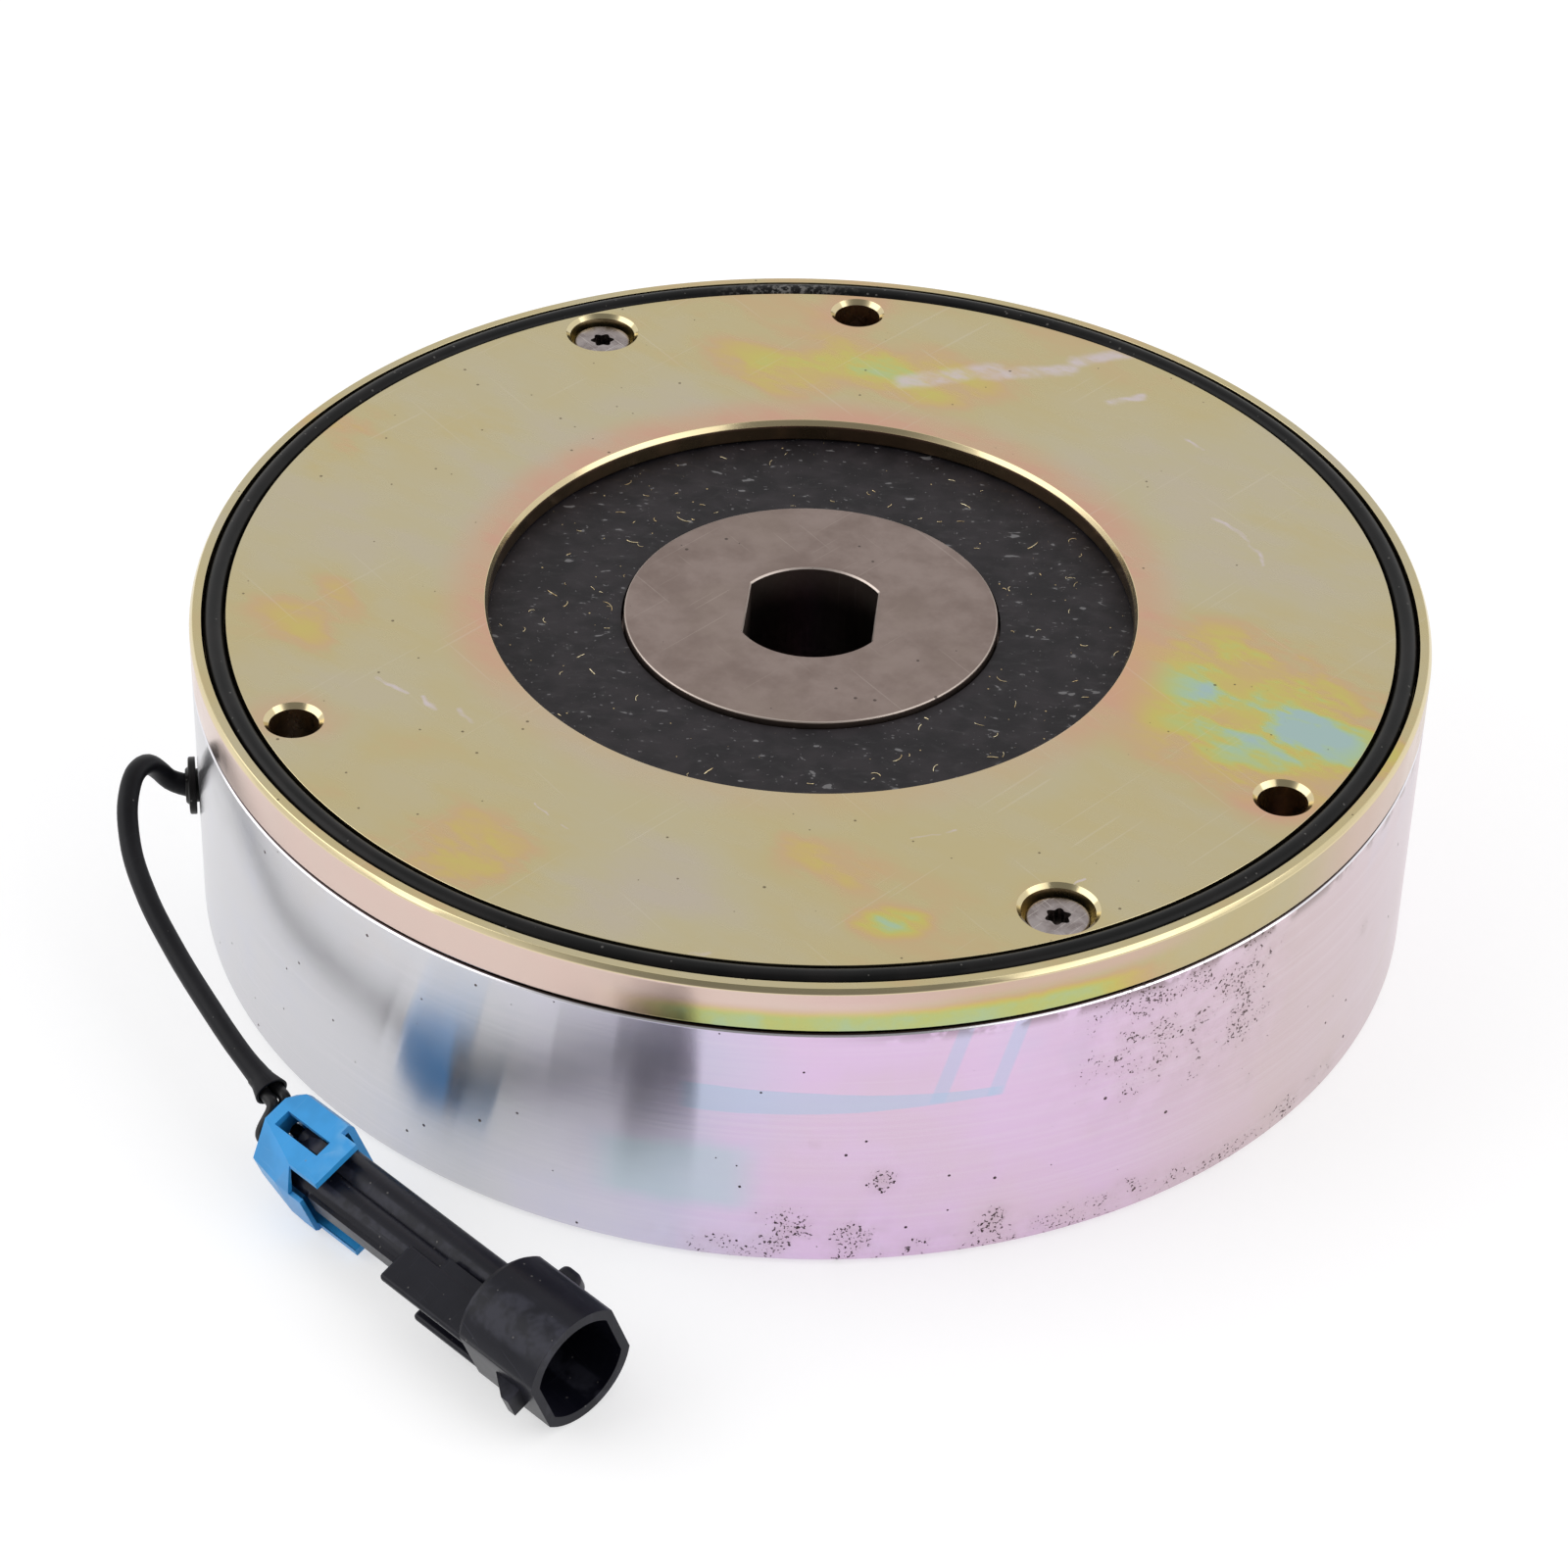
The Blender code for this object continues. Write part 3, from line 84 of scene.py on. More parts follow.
HEAD_R, HEAD_HEIGHT, SCREW_R, SCREW_LENGTH = 0.0037, 0.0022, 0.0020, 0.0120
COUNTERBORE_R, SCREW_HOLE_R, THREAD_R = 0.0043, 0.0024, 0.0023
SOCKET_R, SOCKET_LOBE, SOCKET_DEPTH = 0.00138, 0.00019, 0.0014
POTTING_THICK, GROMMET_R, GROMMET_THICK = 0.0020, 0.0036, 0.0009
SHROUD_R, SHROUD_FLATS, BARREL_R = 0.00745, 0.0064, 0.00245
LEAD_ANGLE, LEAD_Z, LEAD_HOLE_R = 192.2, 0.0165, 0.0024
SLEEVE_R, WIRE_R = 0.0015, 0.00075
ROUTE = (
    (0.0036, -0.0001, 0.0176), (0.0047, 0.0002, 0.0192), (0.0060, 0.0016, 0.0213),
    (0.0075, 0.0046, 0.0223), (0.0085, 0.0086, 0.0211), (0.0084, 0.0137, 0.0186),
    (0.0065, 0.0218, 0.0163), (0.0036, 0.0294, 0.0144), (-0.0003, 0.0388, 0.0131),
    (-0.0038, 0.0465, 0.0121), (-0.0073, 0.0528, 0.0110),
)
PLUG_LENGTH = 0.0520
PLUG_FLOOR = PLUG_LENGTH - 0.0105
PLUG_MOUTH = (-0.03964, 0.09829, 0.0076)
PLUG_TURN, PLUG_ROLL = 127.65, 21.0
WAYS = (-0.0012, 0.0020)
LOCK_WIDTH = 0.0102
SEAL_START, SEAL_END = 0.0044, 0.0094
FLOOR_GLOW, LAMP_AWAY = 0.54, 1.1


# Shapes


def around(radius, turn):
    return radius * math.cos(turn), radius * math.sin(turn)


def polar(radius, degrees, height=0.0):
    return Vector((*around(radius, math.radians(degrees)), height))


def link(name, data):
    obj = bpy.data.objects.new(name, data)
    bpy.context.scene.collection.objects.link(obj)
    return obj


def finished(shape, name):
    """The shape being built, as an object, with its faces turned outwards."""
    bmesh.ops.recalc_face_normals(shape, faces=shape.faces)
    mesh = bpy.data.meshes.new(name)
    shape.to_mesh(mesh)
    shape.free()
    return link(name, mesh)


def skin(shape, rings):
    """Faces between each ring of points and the next, and over both ends."""
    shape.faces.new(rings[0])
    shape.faces.new(rings[-1])
    for first, second in zip(rings, rings[1:]):
        for i in range(len(first)):
            j = (i + 1) % len(first)
            shape.faces.new((first[i], first[j], second[j], second[i]))


def baked(obj):
    """The object's mesh with its modifiers, or its curve, made real."""
    bpy.context.view_layer.update()
    graph = bpy.context.evaluated_depsgraph_get()
    mesh = bpy.data.meshes.new_from_object(obj.evaluated_get(graph))
    if obj.type == "MESH":
        obj.modifiers.clear()
        obj.data = mesh
        return obj
    name = obj.name
    bpy.data.objects.remove(obj)
    return link(name, mesh)


def fillet(profile, closed):
    """Round each corner (radius, height, fillet) of a profile with a short arc."""
    points = []
    count = len(profile)
    for i, corner in enumerate(profile):
        here = Vector(corner[:2])
        size = corner[2] if len(corner) > 2 else 0.0
        if size == 0.0 or (not closed and i in (0, count - 1)):
            points.append(tuple(here))
            continue
        before = Vector(profile[i - 1][:2]) - here
        after = Vector(profile[(i + 1) % count][:2]) - here
        for step in range(5):
            t = step / 4
            start = here + before.normalized() * size
            finish = here + after.normalized() * size
            spot = (1 - t) ** 2 * start + 2 * t * (1 - t) * here + t * t * finish
            points.append(tuple(spot))
    return points


def lathe(name, profile, steps=192, closed=True):
    """A profile turned round Z. An open one starts and ends on the axis."""
    points = fillet(profile, closed)
    shape = bmesh.new()
    rings = []
    for radius, height in points:
        if radius < 1e-7:
            rings.append([shape.verts.new((0.0, 0.0, height))])
            continue
        turns = [math.tau * i / steps for i in range(steps)]
        rings.append([shape.verts.new((*around(radius, turn), height)) for turn in turns])
    pairs = list(zip(rings, rings[1:]))
    if closed:
        pairs.append((rings[-1], rings[0]))
    for upper, lower in pairs:
        for i in range(steps):
            j = (i + 1) % steps
            if len(upper) == 1 and len(lower) == 1:
                continue
            if len(upper) == 1:
                shape.faces.new((upper[0], lower[i], lower[j]))
            elif len(lower) == 1:
                shape.faces.new((upper[j], upper[i], lower[0]))
            else:
                shape.faces.new((upper[j], upper[i], lower[i], lower[j]))
    return finished(shape, name)


def prism(name, outline, low, high):
    """A closed outline in XY from one height to another."""
    shape = bmesh.new()
    base = [shape.verts.new((x, y, low)) for x, y in outline]
    face = shape.faces.new(base)
    moved = bmesh.ops.extrude_face_region(shape, geom=[face])
    top = [v for v in moved["geom"] if isinstance(v, bmesh.types.BMVert)]
    bmesh.ops.translate(shape, verts=top, vec=(0.0, 0.0, high - low))
    return finished(shape, name)


def box(name, low, high):
    (x0, y0, z0), (x1, y1, z1) = low, high
    return prism(name, [(x0, y0), (x1, y0), (x1, y1), (x0, y1)], z0, z1)


def moved(obj, matrix):
    obj.data.transform(matrix)
    return obj


def boolean(obj, others, operation):
    for other in others:
        modifier = obj.modifiers.new("b", "BOOLEAN")
        modifier.operation = operation
        modifier.object = other
        modifier.solver = "EXACT"
    baked(obj)
    for other in others:
        bpy.data.objects.remove(other)
    shape = bmesh.new()
    shape.from_mesh(obj.data)
    bmesh.ops.remove_doubles(shape, verts=shape.verts, dist=1e-6)
    shape.to_mesh(obj.data)
    shape.free()
    return obj


def cut(obj, *others):
    return boolean(obj, others, "DIFFERENCE")


def fuse(obj, *others):
    return boolean(obj, others, "UNION")


def smooth(obj, degrees=32.0, weighted=True):
    obj.data.shade_smooth()
    obj.data.set_sharp_from_angle(angle=math.radians(degrees))
    if weighted:
        modifier = obj.modifiers.new("normals", "WEIGHTED_NORMAL")
        modifier.keep_sharp = True
    return obj


def rounded(obj, width, segments=2, degrees=35.0):
    modifier = obj.modifiers.new("edges", "BEVEL")
    modifier.width = width
    modifier.segments = segments
    modifier.limit_method = "ANGLE"
    modifier.angle_limit = math.radians(degrees)
    modifier.use_clamp_overlap = True
    return baked(obj)


def hole(radius, top, bottom, edge=0.0, edge_low=0.0, steps=48):
    """A cutter for a round hole with chamfers at its two ends."""
    profile = [(0.0, top + PAST), (radius + edge + (PAST if edge else 0.0), top + PAST)]
    if edge:
        profile.append((radius, top - edge))
    if edge_low:
        profile += [(radius, bottom + edge_low), (radius + edge_low + PAST, bottom - PAST)]
        profile.append((0.0, bottom - PAST))
    else:
        profile += [(radius, bottom), (0.0, bottom)]
    return lathe("hole", profile, steps, closed=False)


def at(obj, radius, degrees):
    return moved(obj, Matrix.Translation(polar(radius, degrees)))


def holes(circle, angles, *sizes):
    return [at(hole(*sizes), circle, angle) for angle in angles]


def tube(name, points, radius, sides=16, radii=None):
    """A round tube along a list of points, as a curve."""
    curve = bpy.data.curves.new(name, "CURVE")
    curve.dimensions = "3D"
    curve.bevel_depth = radius
    curve.bevel_resolution = sides // 2 - 2
    curve.use_fill_caps = True
    spline = curve.splines.new("POLY")
    spline.points.add(len(points) - 1)
    for i, (spot, point) in enumerate(zip(spline.points, points)):
        spot.co = (*point, 1.0)
        spot.radius = 1.0 if radii is None else radii[i]
    return link(name, curve)


def smooth_path(route, spacing):
    """Points this far apart along a smooth curve through a route's points."""
    knots = numpy.array([tuple(point) for point in route])
    spans = numpy.linalg.norm(numpy.diff(knots, axis=0), axis=1)
    along = numpy.concatenate([[0.0], numpy.cumsum(spans)])
    slopes = numpy.gradient(knots, along, axis=0)
    path = []
    for spot in numpy.linspace(0.0, along[-1], max(2, round(along[-1] / spacing) + 1)):
        i = min(int(numpy.searchsorted(along, spot, side="right")) - 1, len(spans) - 1)
        t = (spot - along[i]) / spans[i]
        start = (2 * t**3 - 3 * t**2 + 1) * knots[i] + (t**3 - 2 * t**2 + t) * spans[i] * slopes[i]
        finish = (3 * t**2 - 2 * t**3) * knots[i + 1] + (t**3 - t**2) * spans[i] * slopes[i + 1]
        path.append(Vector(start + finish))
    return path


# The turned pieces


def make_cover():
    profile = [
        (BODY_R - 0.0004, COVER_TOP, 0.00012), (BODY_R, COVER_TOP - 0.0007, 0.0002),
        (BODY_R, COVER_LOW + 0.0003, 0.0001), (BODY_R - 0.0003, COVER_LOW, 0.0001),
        (LEDGE_R, COVER_LOW), (LEDGE_R, WEB_LOW, 0.0003),
        (BORE_R, WEB_LOW, 0.0002), (BORE_R, COVER_TOP - 0.0007, 0.0001),
        (BORE_R + 0.0004, COVER_TOP, 0.0001), (GROOVE_IN, COVER_TOP, 0.0001),
        (GROOVE_IN, COVER_TOP - GROOVE_DEPTH, 0.0003),
        (GROOVE_OUT, COVER_TOP - GROOVE_DEPTH, 0.0003), (GROOVE_OUT, COVER_TOP, 0.0001),
    ]
    cover = lathe("cover_plate_fine", profile, 288)
    cutters = holes(BOLT_CIRCLE, BOLT_ANGLES, BOLT_R, COVER_TOP, COVER_LOW - PAST, 0.0006)
    cutters += holes(SCREW_CIRCLE, SCREW_ANGLES, COUNTERBORE_R, COVER_TOP, SCREW_SEAT, 0.0005)
    cutters += holes(SCREW_CIRCLE, SCREW_ANGLES, SCREW_HOLE_R, COVER_TOP, COVER_LOW - PAST)
    return smooth(cut(cover, *cutters))


def make_body():
    profile = [
        (0.0, WELL_FLOOR), (WELL_R, WELL_FLOOR, 0.0004), (WELL_R, POLE, 0.0004), (COIL_IN, POLE, 0.0003),
        (COIL_IN, COIL_LOW, 0.0004), (COIL_OUT, COIL_LOW, 0.0004), (COIL_OUT, POLE, 0.0003),
        (CAVITY_R, POLE, 0.0004), (CAVITY_R, BODY_TOP, 0.0003),
        (BODY_R - 0.0003, BODY_TOP, 0.0001), (BODY_R, BODY_TOP - 0.0003, 0.0001),
        (BODY_R, 0.0008, 0.0003), (BODY_R - 0.0008, 0.0, 0.0003), (0.0, 0.0),
    ]
    body = lathe("magnet_body_fine", profile, 288, closed=False)
    cutters = holes(BOLT_CIRCLE, BOLT_ANGLES, BOLT_R, BODY_TOP, 0.0, 0.0, 0.0006)
    thread_end = SCREW_SEAT + GAP - SCREW_LENGTH - 0.002
    cutters += holes(SCREW_CIRCLE, SCREW_ANGLES, THREAD_R, BODY_TOP, thread_end)
    cutters += holes(PIN_CIRCLE, PIN_ANGLES, PIN_R + GAP, POLE, POLE - PIN_DEPTH)
    cutters += holes(SPRING_CIRCLE, SPRING_ANGLES, SPRING_HOLE_R, POLE, POLE - SPRING_DEPTH, 0.0003)
    lead_hole = hole(LEAD_HOLE_R, BODY_R + 0.0006, (COIL_IN + COIL_OUT) / 2)
    cutters.append(moved(lead_hole, lead_frame()))
    return smooth(cut(body, *cutters))


def lead_frame():
    """Local Z along the lead hole, outwards from the brake's axis."""
    turn = UP.rotation_difference(polar(1.0, LEAD_ANGLE))
    return Matrix.Translation((0.0, 0.0, LEAD_Z)) @ turn.to_matrix().to_4x4()


def lugs(name, grow, steps=16):
    """The hub's lugged flange, or its pocket in the disc."""
    outline = []
    for i in range(8 * steps):
        turn = math.tau * i / (8 * steps)
        wave = max(-1.0, min(1.0, 1.8 * math.cos(8 * turn)))
        outline.append(around(LUG_R + LUG_RISE * wave + grow, turn))
    return prism(name, outline, LUG_LOW - grow, LUG_TOP + grow)


def double_d(radius, half_flats, count=24):
    """A circle with two flats."""
    reach = math.pi - 2 * math.acos(min(1.0, half_flats / radius))
    shares = [i / (count - 1) - 0.5 for i in range(count)]
    sides = (math.pi / 2, 3 * math.pi / 2)
    return [around(radius, side + reach * share) for side in sides for share in shares]


def make_hub():
    end = DISC_LOW - BOSS_LENGTH
    profile = [
        (0.0, HUB_TOP), (HUB_R, HUB_TOP, 0.0003), (HUB_R, DISC_LOW, 0.0002),
        (BOSS_R, DISC_LOW, 0.0003), (BOSS_R, end, 0.0005), (0.0, end),
    ]
    hub = lathe("rotor_hub_fine", profile, 192, closed=False)
    fuse(hub, lugs("lugs", 0.0))
    bore = prism("bore", double_d(SHAFT_R, SHAFT_FLATS), end - PAST, HUB_TOP + PAST)
    edge = prism("edge", double_d(SHAFT_R, SHAFT_FLATS), HUB_TOP - 0.0002, HUB_TOP + PAST)
    for vertex in edge.data.vertices:
        if vertex.co.z > HUB_TOP:
            vertex.co.xy *= 1.0 + 0.0012 / SHAFT_R
    return smooth(cut(hub, bore, edge))


def make_disc():
    profile = [
        (DISC_R, DISC_TOP, 0.0004), (DISC_R, DISC_LOW, 0.0004), (HUB_R + GAP, DISC_LOW),
        (HUB_R + GAP, DISC_TOP, 0.0001),
    ]
    disc = lathe("friction_disc_fine", profile, 192)
    return smooth(cut(disc, lugs("pocket", GAP)))


def make_armature():
    profile = [
        (CAVITY_R - 0.0010, ARM_TOP, 0.0005), (CAVITY_R - 0.0010, ARM_LOW, 0.0005),
        (WELL_R, ARM_LOW, 0.0003), (WELL_R, ARM_TOP, 0.0003),
    ]
    plate = lathe("armature_plate_fine", profile, 192)
    reach, past = PIN_R + 0.0004, CAVITY_R + 0.002
    arc = [around(reach, math.pi * (0.5 + i / 16)) for i in range(17)]
    outline = [(past, reach)] + [(PIN_CIRCLE + x, y) for x, y in arc] + [(past, -reach)]
    cutters = []
    for angle in PIN_ANGLES:
        notch = prism("notch", outline, ARM_LOW - PAST, ARM_TOP + PAST)
        cutters.append(moved(notch, Matrix.Rotation(math.radians(angle), 4, "Z")))
    return smooth(cut(plate, *cutters))


def make_pin(number, angle):
    low, high = POLE - PIN_DEPTH + GAP, ARM_TOP + 0.0033
    profile = [(0.0, high), (PIN_R, high, 0.0005), (PIN_R, low, 0.0002), (0.0, low)]
    return smooth(at(lathe(f"guide_pin_{number}_fine", profile, 48, False), PIN_CIRCLE, angle))


def make_spring(number, angle):
    """A coil spring. Its top stays clear of the plate when the plate is pulled down."""
    low = POLE - SPRING_DEPTH + GAP + SPRING_WIRE_R
    high = ARM_LOW - 2.0 * GAP - SPRING_WIRE_R
    centre = polar(SPRING_CIRCLE, angle)
    points = []
    for i in range(161):
        x, y = around(SPRING_R, math.tau * 4 * i / 160)
        points.append(centre + Vector((x, y, low + (high - low) * i / 160)))
    return tube(f"spring_{number}_fine", points, SPRING_WIRE_R, 10)


def make_coil():
    inner, outer = COIL_IN + GAP, COIL_OUT - GAP
    pot_top, pot_low = POLE - GAP, POLE - GAP - POTTING_THICK
    top = pot_low - GAP
    low = COIL_LOW + GAP
    core, wall = inner + 0.0010, 0.0010
    spool = [
        (outer, top, 0.0002), (outer, top - wall, 0.0002), (core, top - wall), (core, low + wall),
        (outer, low + wall, 0.0002), (outer, low, 0.0002), (inner, low), (inner, top),
    ]
    winding = [(outer - wall, top - wall - GAP), (outer - wall, low + wall + GAP)]
    winding += [(core + GAP, low + wall + GAP), (core + GAP, top - wall - GAP)]
    potting = [(outer, pot_top, 0.0003), (outer, pot_low), (inner, pot_low), (inner, pot_top, 0.0003)]
    names = ("coil_bobbin", "coil_winding", "coil_potting")
    return [smooth(lathe(n + "_fine", p, 128)) for n, p in zip(names, (spool, winding, potting))]


def make_fibres():
    """Curled brass fibres that show in the face of the friction disc, as one piece."""
    chance = random.Random(7)
    places = [
        (-17.9, 19.5, 2.6), (-23.9, 13.7, 2.0), (-25.3, -1.1, 2.8), (-32.2, 0.8, 2.0),
        (-30.5, -1.3, 1.6), (-26.1, 27.0, 1.8), (12.8, -27.6, 2.2), (26.4, 19.5, 2.4),
        (31.6, 21.2, 1.8), (-9.0, -33.1, 1.8), (10.5, -31.4, 1.6), (17.6, -29.1, 1.8),
        (26.1, -15.1, 1.6), (24.2, -9.9, 2.0), (-25.2, -15.1, 1.6), (17.3, 27.3, 1.8),
        (24.2, -26.1, 1.6),
    ]
    while len(places) < FIBRES:
        place = polar(chance.uniform(24.2, 39.0), chance.uniform(0.0, 360.0))
        places.append((place.x, place.y, chance.uniform(0.5, 1.5)))
    shape = bmesh.new()
    for x, y, length in places:
        thick = chance.uniform(0.035, 0.065) * MM
        heading, curl = chance.uniform(0.0, math.tau), chance.uniform(-2.4, 2.4)
        steps, rings = 9, []
        here = Vector((x, y, 0.0)) * MM - Vector((*around(1.0, heading), 0.0)) * length / 2 * MM
        for i in range(steps):
            bend = heading + curl * (i / (steps - 1) - 0.5)
            ahead = Vector((*around(1.0, bend), 0.0))
            side = UP.cross(ahead)
            here = here + ahead * (length * MM / steps)
            size = thick * (0.35 if i in (0, steps - 1) else 1.0)
            lift = DISC_TOP + 0.4 * size * math.sin(math.pi * i / (steps - 1))
            circle = [around(size, math.tau * k / 6) for k in range(6)]
            rings.append([shape.verts.new(here + side * a + UP * (lift + b)) for a, b in circle])
        skin(shape, rings)
    return smooth(finished(shape, "brass_fibres"), 60.0, False)


def make_seal():
    middle = (GROOVE_IN + GROOVE_OUT) / 2
    height = COVER_TOP - GROOVE_DEPTH + GAP + SEAL_RING_R
    section = [around(SEAL_RING_R, -math.tau * i / 24) for i in range(24)]
    return smooth(lathe("o_ring_fine", [(middle + x, height + y) for x, y in section], 288), 60.0, False)


def make_screw(number, angle):
    low = SCREW_SEAT + GAP
    top, tip = low + HEAD_HEIGHT, low - SCREW_LENGTH
    profile = [
        (0.0, top), (0.0012, top), (HEAD_R, top, 0.0004), (HEAD_R, low, 0.0001), (SCREW_R, low),
        (SCREW_R, tip, 0.0003), (0.0, tip),
    ]
    screw = lathe(f"cover_screw_{number}_fine", profile, 64, closed=False)
    turns = [math.tau * i / 96 for i in range(96)]
    lobes = [around(SOCKET_R + SOCKET_LOBE * math.cos(6 * turn), turn) for turn in turns]
    cut(screw, prism("socket", lobes, top - SOCKET_DEPTH, top + PAST))
    spin = Matrix.Rotation(math.radians(SCREW_TURNS[number - 1]), 4, "Z")
    return smooth(at(moved(screw, spin), SCREW_CIRCLE, angle))


# The lead and the plug


def from_outlet(out, along, height):
    return polar(BODY_R + out, LEAD_ANGLE, height) + polar(along, LEAD_ANGLE + 90.0)


def lead_path(spacing):
    reaches = (COIL_OUT + GAP, COIL_OUT + 0.009, BODY_R - 0.008, BODY_R - 0.002, BODY_R + 0.0010)
    straight = [polar(radius, LEAD_ANGLE, LEAD_Z) for radius in reaches]
    return smooth_path(straight + [from_outlet(*point) for point in ROUTE], spacing)


def plug_frame():
    """X along the plug towards its mouth, Y across its two ways, Z out of its top face."""
    x = polar(1.0, LEAD_ANGLE + PLUG_TURN)
    turn = Matrix((x, UP.cross(x), UP)).transposed().to_4x4()
    start = from_outlet(*PLUG_MOUTH) - PLUG_LENGTH * x
    return Matrix.Translation(start) @ turn @ Matrix.Rotation(math.radians(PLUG_ROLL), 4, "X")


TO_PLUG = plug_frame()
UP_TO_X = Matrix(((0, 0, 1, 0), (1, 0, 0, 0), (0, 1, 0, 0), (0, 0, 0, 1)))


def along_x(name, outline, start, end):
    return moved(prism(name, outline, start, end), UP_TO_X)


def ring_points(radius, centre=0.0, count=48):
    circle = [around(radius, math.tau * i / count) for i in range(count)]
    return [(centre + x, y) for x, y in circle]


def make_housing():
    shroud = PLUG_LENGTH - 0.0130
    body = along_x("connector_body_fine", double_d(SHROUD_R, SHROUD_FLATS), shroud + 0.0012, PLUG_LENGTH)
    pieces = []
    steps = ((0.0071, 0.00605, 0.0007), (0.0067, 0.0056, 0.0003), (0.00625, 0.0052, 0.0))
    for radius, flats, start in steps:
        pieces.append(along_x("step", double_d(radius, flats), shroud + start, shroud + 0.0020))
    for centre in WAYS:
        pieces.append(along_x("barrel", ring_points(BARREL_R, centre), 0.0096, shroud + 0.0022))
        pieces.append(along_x("rear", ring_points(0.0022, centre), 0.0034, shroud + 0.0021))
    low, inside = WAYS[0], shroud + 0.0024
    for length, bottom, top in ((0.0130, 0.0020, 0.0032), (0.0095, -0.0032, -0.0020)):
        rail = box("rail", (shroud - length, -SHROUD_FLATS, bottom), (inside, low, top))
        pieces.append(rounded(rail, 0.0005, 3))
    pieces.append(box("side", (0.0100, low - 0.00255, -0.0016), (inside, low, 0.0014)))
    pieces.append(box("ledge", (shroud - 0.0078, low - 0.00175, 0.0), (inside, low + 0.00135, 0.0031)))
    end = 0.0088
    slope = [(end - 0.0054, 0.00132), (end - 0.0012, 0.0042), (end, 0.0042), (end, 0.00132)]
    for sign in (1.0, -1.0):
        latch = prism("latch", slope, -0.00085, 0.00085)
        moved(latch, Matrix(((1, 0, 0, 0), (0, 0, -sign, 0), (0, sign, 0, 0), (0, 0, 0, 1))))
        pieces.append(moved(latch, Matrix.Translation((0.0, 0.0010, 0.0))))
    flat, front = SHROUD_FLATS, PLUG_LENGTH - 0.0028
    back, sunk, out = PLUG_LENGTH - 0.0108, flat - 0.0004, flat + 0.0019
    ramp = [(front - 0.0045, -sunk), (front, -sunk), (front, -out), (front - 0.0011, -out)]
    tab = [(back, sunk), (back + 0.0003, out), (back + 0.0029, out), (back + 0.0043, sunk)]
    pieces.append(prism("ramp", ramp, -0.0015, 0.0015))
    pieces.append(rounded(prism("tab", tab, -0.0015, 0.0015), 0.0008, 4))
    fuse(body, *pieces)
    hollow = along_x("hollow", double_d(0.00615, 0.0053), PLUG_FLOOR, PLUG_LENGTH + PAST)
    ways = [along_x("way", ring_points(0.00175, w, 24), 0.0, PLUG_LENGTH - 0.0095) for w in WAYS]
    cut(body, hollow, *ways)
    rounded(body, 0.00022)
    return smooth(moved(body, TO_PLUG), 40.0)


def lock_form(name, inset, start, finish):
    """The lock's tapered form, or the hollow in it, from its nose to its tongues."""
    half, middle, rise, drop = LOCK_WIDTH / 2, 0.0004, 0.0046, 0.0059
    top = rise - inset
    rings = []
    for x, left_top, left, low, right, right_top in (
        (0.0, 0.12, 0.84, 0.50, 0.80, 0.53), (0.0017, 0.24, 0.89, 0.68, 1.00, 0.90),
        (0.0048, 0.45, 0.98, 1.00, 1.00, 0.90), (0.0072, 0.63, 1.00, 1.00, 1.00, 0.90),
        (finish, 0.63, 1.00, 1.00, 1.00, 0.90),
    ):
        foot = low * drop - inset
        left_side = middle - left * half + 0.65 * inset
        right_side = middle + right * half - inset
        section = [
            (middle + right_top * half - inset / 2, top), (middle - left_top * half - inset / 8, top),
            (left_side, 0.17 * rise - inset / 4), (left_side, -0.93 * foot),
            (left_side + 0.08 * half, -foot), (middle + right_top * half - inset / 2, -foot),
            (right_side, -0.83 * foot), (right_side, 0.78 * top),
        ]
        rings.append([(max(x, start), y, z) for y, z in section])
    shape = bmesh.new()
    skin(shape, [[shape.verts.new(point) for point in ring] for ring in rings])
    bmesh.ops.triangulate(shape, faces=shape.faces)
    return finished(shape, name)


def make_lock():
    centre, half, length, far, past = 0.0004, LOCK_WIDTH / 2, 0.0092, 0.0166, 0.012
    lock = lock_form("connector_lock_fine", 0.0, 0.0, 0.0156)
    left, right = centre - past, centre + past
    cutters = [lock_form("inside", 0.0009, 0.0009, far)]
    for x0, y0, z0, x1, y1, z1 in (
        (0.0072, left, 0.00055, far, centre - 0.65 * half, past),
        (length, left, -past, far, centre - 0.85 * half, 0.0011),
        (length, centre + 0.66 * half, -0.001, far, right, past),
        (length, centre + 0.80 * half, -past, far, right, 0.001),
        (length + 0.0027, left, 0.0, far, right, past),
        (0.0016, -0.0001, 0.0, 0.0091, 0.0021, past),
        (0.0051, -0.0001, -past, 0.0091, 0.0021, 0.0),
    ):
        cutters.append(box("cut", (x0, y0, z0), (x1, y1, z1)))
    cutters += [along_x("wire", ring_points(0.00105, w, 24), -0.001, 0.0019) for w in WAYS]
    cut(lock, *cutters)
    rounded(lock, 0.0003, 3, 28.0)
    return smooth(moved(lock, TO_PLUG), 40.0)


def make_terminal(number, way):
    floor = PLUG_FLOOR
    forms = []
    for start, end, wide, tall in ((-0.012, 0.0, 0.001, 0.001), (-0.001, 0.0050, 0.00075, 0.0004)):
        low, high = (floor + start, way - wide, -tall), (floor + end, way + wide, tall)
        forms.append(box(f"terminal_{number}_fine", low, high))
    terminal = fuse(forms[0], rounded(forms[1], 0.00015))
    return smooth(moved(terminal, TO_PLUG), 40.0)


